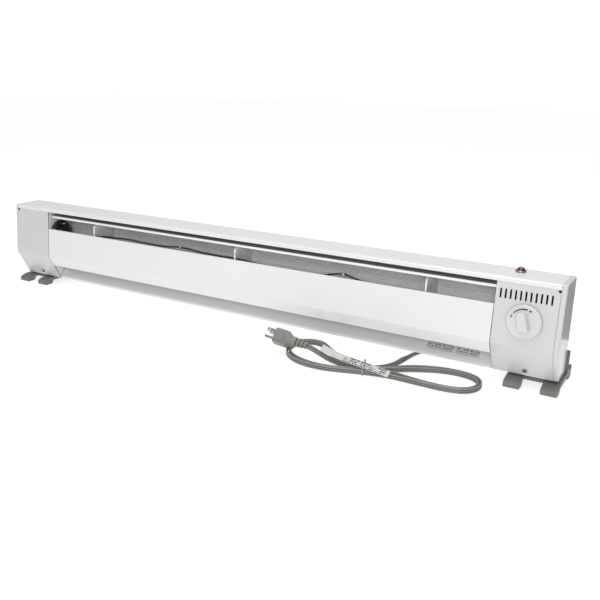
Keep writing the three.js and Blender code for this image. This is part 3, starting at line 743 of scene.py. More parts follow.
LEAD = [
    (516, 80, 48), (516, 92, 48), (516, 105, 48), (516, 116, 47.3), (514.5, 127.5, 44.4), (509, 137.6, 38.8),
    (498.5, 144.4, 31), (484.5, 146.6, 23), (468, 145, 15.6), (451, 140.2, 9.6), (433, 133.3, 6.2),
    (414, 124, 5.1), (395, 111.5, 5.1), (378, 96, 5.1), (365, 78.5, 5.1), (357, 58, 5.1), (353, 36, 5.1),
    (352.5, 15, 5.1), (352, 0, 5.1), (349.5, -13, 5.1), (345, -25, 5.1), (339.5, -34.5, 5.1),
]
HANK = [
    (333, -43), (323, -49.3), (311, -51.5), (297.5, -48.8), (278, -40), (247, -27), (228, -14), (212, 1.3),
    (200.6, 9.1), (186.8, 11.8), (173, 9.1), (161.3, 1.3), (153.5, -10.4), (150.8, -24.2), (152.3, -39),
    (157.5, -54), (167, -69), (181, -81), (202.5, -91), (228.5, -95), (258.5, -93), (289, -84), (319, -75),
    (351, -67), (384, -66.5), (420, -67.5), (447, -68), (467.5, -66), (487.5, -60.6), (502.1, -46),
    (507.5, -26), (502.1, -6), (487.5, 8.6), (467.5, 14), (445, 15), (421, 11.5), (398, 3.5), (373, -10),
    (351, -27.5),
]
TURNS = 2
LOOSE = [(1.08, 0.05, 4.5), (1.36, 0.05, 3.5), (1.54, 0.05, 9.0), (1.92, 0.05, 4.0)]  # turn, width, spread
TAIL = [
    (340, -49, 5.1), (325, -58, 5.1), (309, -61.5, 5.1), (290, -60.8, 5.1), (270, -60.3, 5.2), (256, -60.6, 7),
    (241, -60.4, 11.2), (227, -60, 16.6), (214, -59.4, 21.2), (205.4, -59.2, 23.8), (197, -59.3, 25.3),
]

BLADE_SPACING = 12.7
PLUG_ORIGIN = (174.5, -60.5, 27.5)
PLUG_AHEAD = Vector((-0.993, -0.04, 0.11)).normalized()
PLUG_DOWN = Vector((0, -0.67, -0.74))
PLUG_DOWN = (PLUG_DOWN - PLUG_AHEAD * PLUG_DOWN.dot(PLUG_AHEAD)).normalized()
PLUG_SIDE = PLUG_DOWN.cross(PLUG_AHEAD)


def hank_turns():
    """The turns, wound inwards by one strand each time round."""
    loop = smooth_line([(x, y, 0) for x, y in HANK], closed=True)
    outline = even_steps([*loop, loop[0]], 13)[:-1]
    count = len(outline)
    turns = []
    for k in range(TURNS * count + 1):
        here = outline[k % count]
        along = (outline[(k + 1) % count] - outline[k % count - 1]).normalized()
        shift = CORD_PITCH * k / count
        for centre, width, spread in LOOSE:
            shift += spread * math.exp(-((k / count - centre) / width) ** 2)
        turns.append(Vector((here.x - along.y * shift, here.y + along.x * shift, ON_EDGE)))
    return turns


def cord_route():
    """The cord's centre line, and its section's roll at each step: a right angle stands on edge."""
    turns = hank_turns()
    line = even_steps(smooth_line(LEAD + turns[:-2] + TAIL), CORD_STEP)
    for _ in range(RELAXING):
        line[1:-1] = [(a + 2 * b + c) / 4 for a, b, c in zip(line, line[1:], line[2:])]
    lengths = [0.0]
    for a, b in zip(line, line[1:]):
        lengths.append(lengths[-1] + (b - a).length)
    total = lengths[-1]

    def ease(value, start, stop):
        t = max(0.0, min(1.0, (value - start) / (stop - start)))
        return t * t * (3 - 2 * t)

    rolls = []
    for i, walked in enumerate(lengths):
        upright = 1 - ease(walked, *LIES_DOWN) + ease(walked, *STANDS_UP)
        upright -= ease(walked, total - TWIST[0], total - TWIST[1]) * (1 - PLUG_UPRIGHT)
        rolls.append(upright * math.pi / 2)
        if walked < FLAT_END and line[i].z < 12:
            height = abs(math.sin(rolls[i])) * CORE_PITCH + LOBE
            line[i].z -= (ON_EDGE - height - 0.25) * ease(walked, *LIES_DOWN)
    return line, rolls


def cord_section():
    """The three round cores side by side, as [wide, thin] points from the middle."""
    join = CORE_PITCH / 2
    lens = math.asin(join / LOBE)
    half = []
    for centre, facing, reach, steps in ((CORE_PITCH, 0, math.pi / 2 + lens, 15), (0, math.pi / 2, lens, 6)):
        for k in range(steps + 1):
            angle = facing - reach + 2 * reach * k / steps
            half.append((centre + LOBE * math.cos(angle), LOBE * math.sin(angle)))
    right, top = half[:16], half[16:]
    left = [(-x, -y) for x, y in right]
    bottom = [(-x, -y) for x, y in top]
    return right[:-1] + top[:-1] + left[:-1] + bottom[:-1]


def cord():
    line, rolls = cord_route()
    section = cord_section()

    def rolled(i):
        c, s = math.cos(rolls[i]), math.sin(rolls[i])
        return [(a * c + b * s, a * s - b * c) for a, b in section]

    flex = loft("mains_cord", carried(line, rolled))
    bottom = math.sqrt(LOBE ** 2 - (CORE_PITCH / 2) ** 2)
    # The groove attribute holds painted shade: strongest down in the grooves between the cores, none on their
    # crowns.
    groove_shade = []
    for a, b in section:
        rise = (abs(b) - bottom) / (LOBE - bottom)
        groove_shade.append(max(0.0, 1.1 - 1.15 * rise) if abs(a) < CORE_PITCH else 0.0)
    groove = flex.data.attributes.new("groove", "FLOAT", "POINT")
    groove.data.foreach_set("value", groove_shade * len(line))
    soften(flex, 0)
    dress(flex, CORD_VINYL, "cord_vinyl", "cord_lead", "cord_hank", "cord_tail")
    return flex, [place(*p) for p in line]


def plug_point(x, y, z):
    """A point of the plug's own frame: X to the blades, Z to the earth pin."""
    return place(*(Vector(PLUG_ORIGIN) + PLUG_AHEAD * x + PLUG_SIDE * y + PLUG_DOWN * z))


def plug_turned(name, profile, y, z, sides=32, squeeze=1.0):
    """A [radius, x] profile turned about the plug's X direction."""
    return revolved(name, profile, sides, lambda a, b, x: plug_point(x, y + a * squeeze, z + b))


def plug_body():
    stations = [
        (-1.5, 6.4, -7.2, 7.2), (0, 7.0, -7.8, 7.8), (7.6, 10.9, -13.0, 13.4), (8.6, 11.2, -13.4, 14.0),
        (20, 11.5, -13.4, 14.0), (32.2, 11.4, -13.4, 14.0), (32.8, 11.0, -13.0, 13.6),
        (33, 10.4, -12.4, 13.0),
    ]
    squareness = 0.30
    rings = []
    for x, half, low, high in stations:
        ring = []
        for c, s in circle(1, 48):
            y = half * math.copysign(abs(c) ** squareness, c)
            z = (low + high) / 2 + (high - low) / 2 * math.copysign(abs(s) ** squareness, s)
            ring.append(plug_point(x, y, z))
        rings.append(ring)
    body = loft("plug_moulding", rings)
    profile = [(0, 9.5), (9.2, 9.5), (9.2, 11.7), (8.7, 12.1), (8.0, 11.75), (0, 11.65)]
    pads = [
        revolved("pad", profile, 48, lambda a, b, h, side=side: plug_point(19.5 + a, side * h, 0.3 + b))
        for side in (-1, 1)
    ]
    neck = [(0, -30), (5.9, -30), (6.6, -29.4)]
    for i in range(4):
        start = -29.4 + 7.0 * i
        reach = 6.8 + 0.5 * i
        neck += [(reach, start), (reach + 0.3, start + 2), (reach, start + 3.8)]
        if i < 3:
            neck += [(4.2, start + 4.1), (4.2, start + 6.7)]
    neck += [(8.6, -2), (8.8, 2.5), (0, 2.5)]
    collar = plug_turned("neck", neck, 0, 0, 40, 0.86)
    combine(body, [*pads, collar], "UNION")
    soften(body, 0.35, 2, 38)
    return dress(body, VINYL, "cord_vinyl", "plug_body")


def plug_contacts():
    contacts = []
    for i, side in enumerate((-1, 1)):
        outline = rounded(rectangle(33.0, -9.2, 50.5, -2.9), [0, 2.2, 2.2, 0], 5, True)
        y = side * BLADE_SPACING / 2
        blade = slab(f"blade_{i + 1}", outline, y - 0.75, y + 0.75, lambda a, b, c: plug_point(a, c, b))
        eye = slab("eye", circle(1.6, 24, 0, (46, -6)), y - 3, y + 3, lambda a, b, c: plug_point(a, c, b))
        combine(blade, [eye])
        soften(blade, 0.22)
        contacts.append(dress(blade, BLADE, "blade_steel", f"plug_blade_{i + 1}"))
    pin = [(0, 33), (2.35, 33), (2.35, 50.6), (2.1, 52.0), (1.5, 53.0), (0.7, 53.45), (0, 53.5)]
    earth = soften(plug_turned("earth_pin", pin, 0, 6), 0)
    contacts.append(dress(earth, BRASS, "brass", "plug_earth_pin"))
    return contacts


def strain_relief():
    """A tapered relief in the back panel, with a flange and rings."""
    profile = [(0, -5), (7.4, -5), (7.6, -4.6), (7.6, 0.3), (9.6, 0.3), (10, 0.8), (10, 2.9), (9.5, 3.4),
               (8.2, 3.6)]
    for i in range(5):
        start = 5.2 + 4.4 * i
        reach = 7.9 - 0.42 * i
        groove = reach - 1.1
        profile += [(reach, start), (reach, start + 2.4), (groove, start + 2.8), (groove, start + 4.0)]
    profile += [(5.7, 27.4), (5.3, 28), (0, 28)]
    relief = turned("cord_relief", profile, CORD_EXIT, (0, 1, 0), 40)
    soften(relief, 0.2, 1, 40)
    return dress(relief, DARK_VINYL, "cord_vinyl", "cord_strain_relief")


def strip(name, route, across, thickness, curl, steps, cross_steps):
    """A paper strip along a route. curl lifts its two long edges, in millimetres."""
    reach = sum((Vector(b) - Vector(a)).length for a, b in zip(route, route[1:]))
    line = even_steps(smooth_line(route), reach / steps)
    across = Vector(across)
    points, faces, uvs = [], [], []
    count = cross_steps + 1
    for i, centre in enumerate(line):
        ahead = heading(line, i)
        lift = across.cross(ahead).normalized()
        if lift.z < 0:
            lift = -lift
        for k in range(count):
            v = 2 * k / cross_steps - 1
            points.append(place(*(centre + across * v + lift * curl * (v * v - 1))))
            uvs.append((i / (len(line) - 1), k / cross_steps))
    for i in range(len(line) - 1):
        for k in range(cross_steps):
            a = i * count + k
            faces.append((a, a + 1, a + count + 1, a + count))
    piece = new_piece(name, points, faces)
    layer = piece.data.uv_layers.new(name="strip")
    for loop in piece.data.loops:
        layer.data[loop.index].uv = uvs[loop.vertex_index]
    thicken(piece, thickness)
    return soften(piece, 0)


TAG_HALF_WIDTH = 6.2
TIE_WIDTH, TIE_THICKNESS = 2.0, 1.0


def tag():
    route = [(231, -56, 26), (260, -60.5, 20), (293, -65.5, 17.6), (327, -72.5, 17.2), (369, -82, 16.2)]
    half = Vector((0.1, 0.82, 0.56)).normalized() * TAG_HALF_WIDTH
    return dress(strip("paper_tag", route, half, 0.35, 0.8, 24, 8), TAG_PAPER, "paper", "cord_tag")


def wire_tie():
    """A coated wire tie round the pinched strands and the tag."""
    turn = Matrix.Rotation(0.25, 3, "Z")
    foot_of_tie = Vector((316.5, -63.5, 0))
    corners = [(-16.9, 1.2), (15.5, 1.2), (10, 21.5), (-2, 23.2), (-16.9, 12.2)]
    loop = rounded(corners, [1, 1, 4, 3, 4], 6, True)
    rings = []
    count = len(loop)
    for i, (y, z) in enumerate(loop):
        before, after = loop[i - 1], loop[(i + 1) % count]
        ahead = Vector((0, after[0] - before[0], after[1] - before[1])).normalized()
        out = Vector((0, ahead.z, -ahead.y))
        ring = []
        for a, b in circle(1, 10):
            spot = Vector((a * TIE_WIDTH / 2, y, z)) + out * b * TIE_THICKNESS / 2
            ring.append(place(*(turn @ spot + foot_of_tie)))
        rings.append(ring)
    tie = soften(loft("wire_tie", rings, around=True), 0)
    return dress(tie, TIE_WHITE, "tie", "cord_tie")


def cord_and_plug():
    relief = strain_relief()
    flex, path = cord()
    pieces = [plug_body(), *plug_contacts(), tag(), wire_tie(), relief]


# --- enclosure ---

def chamfer_point(height):
    """The [y, z] of the lower front slope at a height above the enclosure's base."""
    return CHAMFER_BACK * (CHAMFER_TOP - height) / CHAMFER_TOP, BASE + height


CHAMFER_NORMAL = Vector((0, -CHAMFER_TOP, -CHAMFER_BACK)).normalized()


def round_tool(radius, centre, axis, reach=8, sides=32):
    """A cylinder that cuts a hole."""
    return turned("tool", [(0, -reach), (radius, -reach), (radius, reach), (0, reach)], centre, axis, sides)


LAMP_HOLE, RELIEF_HOLE = 6.4, 8.2


def back_and_top_panel():
    ends = (-SHELL_END, SHELL_END)
    lip = (front_at(LIP_BOTTOM) - 0.8, BASE + LIP_BOTTOM)
    line = [(DEPTH - 13, BASE), (DEPTH, BASE), (DEPTH, TOP), (LEAN - 1.5, TOP), lip]
    shell = lined_sheet("back_and_top_shell", line, [0, 2.5, 3, 3.6, 0], ends, ENAMEL)
    combine(shell, [
        round_tool(LAMP_HOLE, (LAMP_X, LAMP_Y, TOP), (0, 0, 1)),
        round_tool(RELIEF_HOLE, CORD_EXIT, (0, 1, 0)),
        relief_tool(-1),
        relief_tool(1),
    ])
    dress(soften(shell), None, "enamel", "back_and_top_panel")


def end_panel(name, side):
    """A drawn pan: a side sheet with a flange all round and soft corners."""
    corners = [(DEPTH, TOP), (LEAN, TOP), (0, BASE + CHAMFER_TOP), (CHAMFER_BACK, BASE), (DEPTH, BASE)]
    outline = rounded(corners, [3.4, 4.0, 5.0, 4.5, 3.4], 6, True)
    bend = 3.0
    rings = [(END - FLANGE, 0.0), (END - FLANGE * 0.6, 0.0)]
    for k in range(BEND_STEPS + 1):
        angle = math.pi / 2 * k / BEND_STEPS
        rings.append((END - bend + bend * math.sin(angle), bend * (1 - math.cos(angle))))
    skin = []
    for x, step in rings:
        skin.append([place(side * x, y, z) for y, z in inset(outline, step, True)])
    pan = loft(name + "_pan", skin, start=False)
    if pan.data.polygons[-1].normal.x * side < 0:
        pan.data.flip_normals()
    # Outside, the darker enamel copy as painted shade.
    pan.data.materials.append(END_PAINTED_SHADE)
    # The pan's inner face gets the near-black painted shade.
    pan.data.materials.append(INNER_PAINTED_SHADE)
    thicken(pan, SHEET, -1, 1)
    dress(soften(pan, 0.25), None, "enamel", name)


SCREW_LEFT, SCREW_RIGHT = -554, 558
SCREW_HEIGHT = 10.5
RELIEF_DROP, RELIEF_INSET = 10.8, 2.2
RELIEF_RADIUS = {-1: 2.7, 1: 2.2}
VENT_COUNT, VENT_FIRST, VENT_PITCH = 11, 511.7, 7.85
VENT_HALF_WIDTH, VENT_LOW, VENT_HIGH = 1.5, 130, 145.5


def cover_sheet(name, x0, x1):
    top = LIP_BOTTOM + 4
    line = [(front_at(top), BASE + top), (0, CREASE), (CHAMFER_BACK, BASE), (DEPTH - 15, BASE)]
    # The end covers take the darker enamel copy as painted shade.
    return lined_sheet(name, line, [0, 2.4, 1.8, 0], (x0, x1), END_PAINTED_SHADE)


def screw_tool(x):
    y, z = chamfer_point(SCREW_HEIGHT)
    return round_tool(2.4, (x, y, z), CHAMFER_NORMAL)


def relief_tool(side):
    """Cuts the small hole at a top front corner."""
    centre = (side * (COVER_OUTER - RELIEF_INSET), front_at(HEIGHT - RELIEF_DROP), TOP - RELIEF_DROP)
    return round_tool(RELIEF_RADIUS[side], centre, FRONT_NORMAL)


def end_covers():
    left = cover_sheet("junction_cover_sheet", -COVER_OUTER, -COVER_INNER)
    combine(left, [screw_tool(SCREW_LEFT), relief_tool(-1)])
    dress(soften(left), None, "enamel", "left_junction_cover")
    right = cover_sheet("control_cover_sheet", COVER_INNER, COVER_OUTER)
    slots = []
    for i in range(VENT_COUNT):
        x = VENT_FIRST + VENT_PITCH * i
        corners = rectangle(x - VENT_HALF_WIDTH, BASE + VENT_LOW, x + VENT_HALF_WIDTH, BASE + VENT_HIGH)
        outline = rounded(corners, 1.2, 5, True)
        slots.append(slab("slot", outline, -4, 5, lambda a, b, c: leaned(a, c, b)))
    shaft_hole = round_tool(5.2, (KNOB_X, front_at(KNOB_Z - BASE), KNOB_Z), FRONT_NORMAL)
    tools = [merged("slots", slots), shaft_hole, screw_tool(SCREW_RIGHT), relief_tool(1)]
    combine(right, tools)
    dress(soften(right), None, "enamel", "control_cover")


def long_sheet(name, line, radius, thickness, half):
    """A folded sheet that reaches half a length each way. line is its outer face."""
    return prism(name, bent_sheet(line, radius, thickness), -half, half)


def front_cover():
    edge = front_at(SLOT_BOTTOM)
    top = BASE + SLOT_BOTTOM
    hem_y, hem_z = chamfer_point(HEM_HEIGHT)
    line = [(edge + 4, top - 6), (edge + 4, top), (edge, top), (0, CREASE), (hem_y, hem_z),
            (hem_y + 8, hem_z + 3.4)]
    cover = long_sheet("front_cover_sheet", line, [0, 1.5, 1.7, 3.0, 1.6, 0], 1.0, COVER_HALF)
    dress(soften(cover), ENAMEL, "enamel", "front_cover")


def bottom_pan():
    line = [(68, BASE + 57), (68, BASE + 50), (CHAMFER_BACK, BASE + 5), (CHAMFER_BACK, BASE),
            (DEPTH - 14, BASE)]
    pan = long_sheet("bottom_pan_sheet", line, [0, 3, 3, 1.6, 0], SHEET, PAN_HALF)
    dress(soften(pan), ENAMEL, "enamel", "bottom_pan")


def rear_reflector():
    back = DEPTH - 3.2
    line = [(back, BASE + 58)]
    for i in range(18):
        z = BASE + 62 + 4.6 * i
        line += [(back, z), (back - 0.9, z + 0.7), (back - 0.9, z + 1.6), (back, z + 2.3)]
    line.append((back, BASE + 146))
    radius = [0] + [0.4] * (len(line) - 2) + [0]
    sheet = long_sheet("ribbed_reflector", line, radius, 0.7, PAN_HALF)
    dress(soften(sheet, 0), REFLECTOR_PAINTED_LIGHT, "galvanised", "rear_reflector")


def heat_deflector():
    line = [(DEPTH - 3, BASE + 148.5), (46, BASE + 154), (18, BASE + 146.2), (18, BASE + 141.8)]
    sheet = long_sheet("deflector_sheet", line, [0, 8, 1.4, 0], 0.9, PAN_HALF)
    sheet.data.materials.append(HEM_PAINTED_HIGHLIGHT)
    sheet.data.materials.append(DEFLECTOR_PAINTED_SHADE)
    # The front hem takes the brighter enamel copy as a painted highlight, and the part behind it the dark copy
    # as painted shade.
    for polygon in sheet.data.polygons:
        polygon.material_index = int((polygon.center.y - FRONT) / MM > 21)
    dress(soften(sheet, 0.2), None, "enamel", "heat_deflector")


LIP_WIDTH = 2.2
LIP_LOW, LIP_HIGH = BASE + 60, BASE + 138.5
ELEMENT_Y, ELEMENT_Z = 38, BASE + 68
WIRE_Y, WIRE_HOLE = 21, 3
WIRE_HEIGHTS = (115, 117, 111)


def cross_plate(name, outline, x, holes, node, lip=False):
    """A thin plate across the heater, with (radius, y, z) holes. lip folds its front edge over."""
    plate = prism(name, rounded(outline, 2.0, 4, True), x - 0.6, x + 0.6)
    if lip:
        (top_y, top_z), (foot_y, foot_z) = outline[:2]
        fronts = [foot_y + (top_y - foot_y) * (z - foot_z) / (top_z - foot_z) for z in (LIP_LOW, LIP_HIGH)]
        corners = [(fronts[0], LIP_LOW), (fronts[0] + 1.1, LIP_LOW), (fronts[1] + 1.1, LIP_HIGH),
                   (fronts[1], LIP_HIGH)]
        combine(plate, [prism("lip", corners, x - 0.5, x + LIP_WIDTH)], "UNION")
    combine(plate, [round_tool(r, (x, y, z), (1, 0, 0), 4) for r, y, z in holes])
    dress(soften(plate, 0.2), GALVANISED_PAINTED_LIGHT, "galvanised", node)


def inner_plates():
    outline = [(LEAN + 1.6, TOP - 8.5), (2, CREASE + 1), (CHAMFER_BACK + 1.6, BASE + 2.2),
               (DEPTH - 2, BASE + 2.2), (DEPTH - 2, TOP - 2), (LEAN + 12, TOP - 2)]
    element_hole = (7.6, ELEMENT_Y, ELEMENT_Z)
    wire_hole = (WIRE_HOLE, WIRE_Y, BASE + 112)
    cross_plate("left_end_plate", outline, -BULKHEAD, [element_hole], "left_bulkhead")
    cross_plate("right_end_plate", outline, BULKHEAD, [element_hole, wire_hole], "right_bulkhead")
    outline = [(front_at(136) + 5.8, BASE + 136), (5.8, BASE + 56), (15, BASE + 41), (56, BASE + 41),
               (68, BASE + 60), (70, BASE + 60), (70, BASE + 124), (58, BASE + 140), (19, BASE + 140)]
    for i, height in enumerate(WIRE_HEIGHTS):
        node = f"element_bracket_{i + 1}"
        holes = [(4.9, ELEMENT_Y, ELEMENT_Z), (WIRE_HOLE, WIRE_Y, BASE + height)]
        cross_plate(f"support_{i + 1}", outline, middle(node).x, holes, node, lip=True)


# --- heating element ---

FIN_STEP = 6.0


def fins():
    for bay in range(4):
        node = f"element_fins_{bay + 1}"
        low, high = span(node)
        count = int((high.x - low.x - 2) // FIN_STEP)
        first = (low.x + high.x) / 2 - FIN_STEP * (count - 1) / 2
        reach = (high.z - low.z) / 2
        corners = rectangle(ELEMENT_Y - reach, ELEMENT_Z - reach, ELEMENT_Y + reach, ELEMENT_Z + reach)
        square = rounded(corners, 2.5, 3, True)
        fold = inset(square, 1.6, True)
        hole = circle(5.6, 16, 0.2, (ELEMENT_Y, ELEMENT_Z))
        pieces = []
        for i in range(count):
            x = first + FIN_STEP * i
            steps = ((x + 0.7, square), (x, fold), (x, hole), (x + 4.6, hole))
            rings = [[place(at, y, z) for y, z in ring] for at, ring in steps]
            pieces.append(loft("fin", rings, start=False, end=False))
        stack = merged(f"fin_stack_{bay + 1}", pieces)
        thicken(stack, 0.35)
        dress(soften(stack, 0), FIN_METAL, "fin_aluminium", node)


def element():
    fins()
    low, high = span("element_sheath")
    long = high.x - low.x
    profile = [(0, 0), (3.4, 0), (4, 0.8), (4, long - 0.8), (3.4, long), (0, long)]
    rod = turned("element_rod", profile, (low.x, ELEMENT_Y, ELEMENT_Z), (1, 0, 0), 32)
    dress(soften(rod, 0), HEAT_STEEL, "element_steel", "element_sheath")


# --- safety cut-out and sensing line ---

WIRE_RADIUS = 1.6
SENSING_ROUTE = [
    (-489.5, 20, 93), (-480, 18, 95), (-452, 17, 103), (-410, 19, 111), (-370, 21, 115), (-330, 20, 118),
    (-280, 20, 120), (-240, 19, 119), (-180, 19, 118.5), (-135, 19, 122), (-80, 20, 118), (-30, 21, 117),
    (0, 21, 117), (40, 20, 115), (80, 20, 111), (130, 19, 110), (180, 19, 112), (206, 19, 118), (232, 19, 122),
    (255, 19, 117), (290, 20, 111), (386, 21, 111), (450, 21, 111), (504, 21, 112), (518, 21, 112),
]


def limit_switch():
    profile = [(0, 0), (24.9, 0), (25.5, 0.6), (25.5, 7.6), (25.0, 8.6), (24.2, 9.0), (23.4, 9.2),
               (23.0, 10.8), (22.4, 11), (17.6, 11), (17.2, 10.2), (16.0, 10.2), (15.6, 11), (15, 11.4),
               (15, 16.6), (14.4, 17.8), (13.4, 18.6), (8.4, 18.9), (8.0, 18.2), (5.4, 18.2), (5.0, 18.9),
               (0, 19)]
    base = middle("high_limit_switch")
    base.x = span("high_limit_switch")[0].x
    disc = turned("limit_switch_disc", profile, base, (1, 0, 0), 64)
    dress(soften(disc, 0.15, 2, 35), PHENOLIC, "phenolic", "high_limit_switch")
    for name in ("upper", "lower"):
        node = f"limit_terminal_{name}"
        low, high = span(node)
        outline = rounded(rectangle(low.x, low.y, high.x, high.y), [0, 2, 2, 0], 4, True)
        tab = slab(f"spade_{name}", outline, low.z, high.z, place)
        hole = middle(node)
        hole.x = high.x - 4
        combine(tab, [round_tool(1.5, hole, (0, 0, 1), 4, 16)])
        dress(soften(tab, 0.2), TERMINAL, "terminal_steel", node)


def sensing_line():
    line = even_steps(smooth_line([(a, b, c + BASE) for a, b, c in SENSING_ROUTE]), 5)
    section = circle(WIRE_RADIUS, 10)
    wire = soften(loft("sensing_wire", carried(line, lambda i: section)), 0)
    dress(wire, SLEEVE, "sensing_line", "limit_sensing_line")
    for i in range(2):
        low, high = span(f"sensing_line_clip_{i + 1}")
        outline = rounded(rectangle(low.y, low.z, high.y, high.z), WIRE_RADIUS, 4, True)
        inner = inset(outline, 1.0, True)
        corners = ((low.x, outline), (high.x, outline), (high.x, inner), (low.x, inner))
        rings = [[place(x, a, b) for a, b in ring] for x, ring in corners]
        clip = loft(f"line_clip_{i + 1}", rings, around=True)
        dress(soften(clip, 0.2), NYLON, "clip_plastic", f"sensing_line_clip_{i + 1}")


# --- knob, lamp and small parts ---

KNOB_TILT = math.radians(15)
KNOB_PROUD = 20
MARK_RADIUS = 20.5


def knob_point(a, b, proud):
    """A point of the knob's face: a across its grip, b along it, proud of the cover."""
    c, s = math.cos(KNOB_TILT), math.sin(KNOB_TILT)
    return leaned(KNOB_X + a * c - b * s, -proud, KNOB_Z + a * s + b * c)


def knob():
    profile = [(0, 0.9), (24.5, 0.9), (26.6, 0.9), (27.3, 1.3), (27.5, 2.0), (27.5, 4.4), (27.2, 5.4),
               (26.4, 6.2), (25.2, 6.7), (24.0, 6.75), (23.2, 6.5), (22.6, 6.35), (12, 7.4), (0, 7.9)]
    axis_foot = leaned(KNOB_X, 0, KNOB_Z)
    centre = (KNOB_X, (axis_foot.y - FRONT) / MM, axis_foot.z / MM)
    disc = turned("knob_moulding", profile, centre, FRONT_NORMAL, 96)
    rings = []
    steps = [(5.5, -1.6), (8.0, -0.9), (13.0, -0.3), (KNOB_PROUD - 2.2, 0.1), (KNOB_PROUD - 1.0, 0.5),
             (KNOB_PROUD - 0.3, 1.2), (KNOB_PROUD, 2.2)]
    for proud, shrink in steps:
        half, top, bottom = 7.7 - shrink, 16.3 - shrink, -13.6 + shrink
        radii = [2.6, 2.6, half * 0.8, half * 0.8]
        outline = rounded(rectangle(-half, bottom, half, top), radii, 8, True)
        rings.append([knob_point(a, b, proud) for a, b in outline])
    grip = loft("grip", rings)
    combine(disc, [grip], "UNION")
    soften(disc, 0.5, 3, 40)
    dress(disc, KNOB_WHITE, "knob_plastic", "thermostat_knob", body="knob")
    knob_marks()


def knob_marks():
    """A short dash, a thickening arc and a dot, printed round the knob's grip."""
    def spot(angle, radius, proud):
        turn = math.radians(angle)
        return knob_point(radius * math.sin(turn), radius * math.cos(turn), proud)

    def arc(name, first, last, thin, thick):
        steps = max(4, int(abs(last - first) / 4))
        lines = []
        for k in range(steps + 1):
            share = k / steps
            angle = first + (last - first) * share
            half = (thin + (thick - thin) * share) / 2
            corners = rectangle(-half, 6.4, half, 6.95)
            lines.append([spot(angle, MARK_RADIUS + across, proud) for across, proud in corners])
        return loft(name, lines)

    marks = [arc("dash", -62, -49, 1.7, 1.7), arc("wedge", -39, 27, 1.3, 2.1), arc("dot", 36, 44, 2.8, 2.8)]
    dress(soften(merged("knob_print", marks), 0), INK, "knob_plastic", body="knob")


LENS_RADIUS = 6.8


def pilot_lamp():
    ring = [(7.2, 0), (8.8, 0), (9, 0.3), (9, 0.9), (8.8, 1.4), (8.4, 2.0), (7.9, 2.2), (7.4, 2.1),
            (7.2, 1.8)]
    base = (LAMP_X, LAMP_Y, span("pilot_lamp_bezel")[0].z)
    bezel = turned("lamp_ring", ring, base, (0, 0, 1), 64)
    dress(soften(bezel, 0), CHROME, "lamp_bezel", "pilot_lamp_bezel")
    low, high = span("pilot_lamp_lens")
    tall = high.z - low.z
    dome = [(0, 0), (LENS_RADIUS, 0), (LENS_RADIUS, tall * 0.3)]
    for k in range(1, 11):
        angle = math.pi / 2 * k / 10
        dome.append((LENS_RADIUS * math.cos(angle), tall * (0.3 + 0.7 * math.sin(angle))))
    lens = turned("lamp_lens", dome, (LAMP_X, LAMP_Y, low.z), (0, 0, 1), 48)
    dress(soften(lens, 0), LENS, "lamp_lens", "pilot_lamp_lens")


def screw(name, centre, axis, node):
    """A pan-head screw with a washer face and a cross recess."""
    profile = [(0, -4.6), (1.8, -4.6), (1.8, 0.3), (3.9, 0.3), (4.0, 0.5), (4.0, 0.8), (3.7, 1.4), (3.1, 2.0),
               (2.2, 2.5), (1.2, 2.68), (0, 2.7)]
    head = turned(name, profile, centre, axis, 32)
    toward = upright_frame(centre, axis)
    low, high = (rectangle(-1.4, -0.45, 1.4, 0.45), 0.7), (rectangle(-2.7, -0.7, 2.7, 0.7), 3.4)
    tools = [
        loft("recess", [[toward(a, b, h) for a, b in quad] for quad, h in (low, high)]),
        loft("recess", [[toward(b, a, h) for a, b in quad] for quad, h in (low, high)]),
    ]
    combine(head, tools)
    dress(soften(head, 0.1, 2, 40), ZINC, "screw_steel", node)


def screws():
    for name, x in (("left", SCREW_LEFT), ("right", SCREW_RIGHT)):
        y, z = chamfer_point(SCREW_HEIGHT)
        screw(f"cover_fixing_{name}", (x, y, z), CHAMFER_NORMAL, f"cover_screw_{name}")
    for name in ("left", "right"):
        for i in range(2):
            node = f"foot_screw_{name}_{i + 1}"
            centre = middle(node)
            centre.y = span(node)[1].y - 2.7
            screw(f"foot_fixing_{name}_{i + 1}", centre, (0, 1, 0), node)


def plain_parts():
    """The hidden parts, which keep their CAD shapes."""
    for material, width, nodes in (
        (CERAMIC, 0.3, ["element_bushing_left", "element_bushing_right"]),
        (TERMINAL, 0.2, ["element_terminal_left", "element_terminal_right", "thermostat_shaft"]),
        (PHENOLIC, 0.3, ["pilot_lamp_body"]),
        (PHENOLIC, 0.4, ["thermostat_body"]),
        (BRASS, 0.15, ["thermostat_terminal_1", "thermostat_terminal_2"]),
        (BRASS, 0.2, ["ground_screw"]),
        (WIRE_NUT, 0.4, ["wire_nut_line", "wire_nut_neutral"]),
    ):
        for node in nodes:
            dress_node(node, material, width)


# --- feet and labels ---

FOOT_INNER, FOOT_OUTER = 529, 614
PRONG_WIDTH, BRIDGE_INSET = 26, 22
GROOVE_FIRST, GROOVE_PITCH = 562.5, 6
FOOT_HOLES = (546, 602)
TAB_FRONT, TAB_BACK = 77.4, 82.5


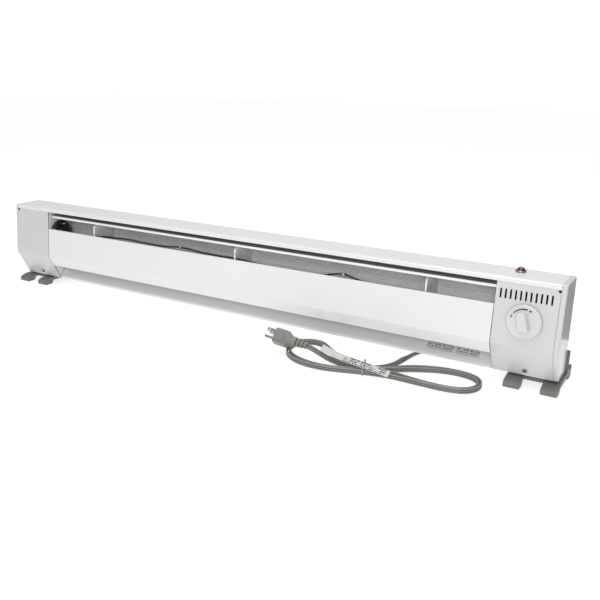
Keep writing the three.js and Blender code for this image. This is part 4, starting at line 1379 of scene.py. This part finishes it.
def foot(name, side):
    high = span(name)[1]
    under = BASE - 0.3
    recess = BASE - 2.6
    tab = [(TAB_BACK, high.z), (TAB_FRONT, high.z), (TAB_FRONT, under)]
    prong = [(6, 0), (24, 0), (29, 8), (86, 8), (91, 0), (high.y, 0), (high.y, 21), (high.y - 6, 21),
             (high.y - 7, 12), (94, under), (TAB_BACK, under), *tab, (42, under), (39, recess), (30, recess),
             (22, 13.4), (11.5, 11), (6, 7.5)]
    radii = [1.2, 2, 3, 3, 2, 1.5, 2.4, 2.4, 3, 3, 2.4, 1.6, 1.6, 0.4, 1, 1, 6, 8, 5, 3]
    bridge = [(35, 8), (84, 8), (84, under), (TAB_BACK, under + 2), *tab, (46, under), (42, recess),
              (35, recess - 1)]
    inner, outer = side * FOOT_INNER, side * FOOT_OUTER
    parts = []
    for start, stop in ((inner, inner + side * PRONG_WIDTH), (outer - side * PRONG_WIDTH, outer)):
        parts.append(prism("prong", rounded(prong, radii, 6, True), min(start, stop), max(start, stop)))
    ends = (min(inner, outer) + BRIDGE_INSET, max(inner, outer) - BRIDGE_INSET)
    parts.append(prism("bridge", rounded(bridge, 0.8, 3, True), *ends))
    combine(parts[0], parts[1:], "UNION")
    grooves = []
    for i in range(4):
        x = side * (GROOVE_FIRST + GROOVE_PITCH * i)
        grooves.append(prism("groove", rectangle(34, 9, 35.8, 15.5), x - 1.2, x + 1.2))
    holes = [round_tool(2.4, (side * x, 80, BASE + 18), (0, 1, 0), 6) for x in FOOT_HOLES]
    combine(parts[0], [merged("grooves", grooves), *holes])
    parts[0].name = f"{name}_moulding"
    dress(soften(parts[0], 0.7, 3, 36), FOOT_GREY, "foot_plastic", name)


def labels():
    for name in ("left", "right"):
        node = f"rating_label_{name}"
        low, high = span(node)
        half = Vector((0, high.y - low.y - 0.6, high.z - low.z - 0.6)) / 2
        reach = Vector(((high.x - low.x) / 2, 0, 0))
        route = [middle(node) + reach * t for t in (-1, -0.33, 0.33, 1)]
        sticker = strip(f"label_{name}", route, half, 0.2, 0.0, 8, 4)
        dress(sticker, LABEL_PAPER, "paper", node)


# --- assembly ---

camera()
world()
floor()
dark_card()
area_light("overhead_soft", (0.3, -0.1, 2.3), (0.1, 0, 0.1), (2.4, 1.2), 35, (1.0, 0.985, 0.955))
area_light("front_soft", (0.95, -2.1, 0.95), (0.1, 0, 0.12), (1.1, 0.6), 14.5, (0.965, 0.98, 1.0))
area_light("low_fill", (1.35, -1.5, 0.16), (0.42, 0, 0.06), (0.7, 0.22), 2.6, (1.0, 1.0, 1.0))
cord_and_plug()
back_and_top_panel()
end_panel("left_end_panel", -1)
end_panel("right_end_panel", 1)
end_covers()
front_cover()
bottom_pan()
rear_reflector()
heat_deflector()
inner_plates()
element()
limit_switch()
sensing_line()
knob()
pilot_lamp()
screws()
plain_parts()
foot("foot_left", -1)
foot("foot_right", 1)
labels()

settings = bpy.context.scene.view_settings
settings.view_transform = "Standard"
settings.look = "None"
settings.exposure = 0.0
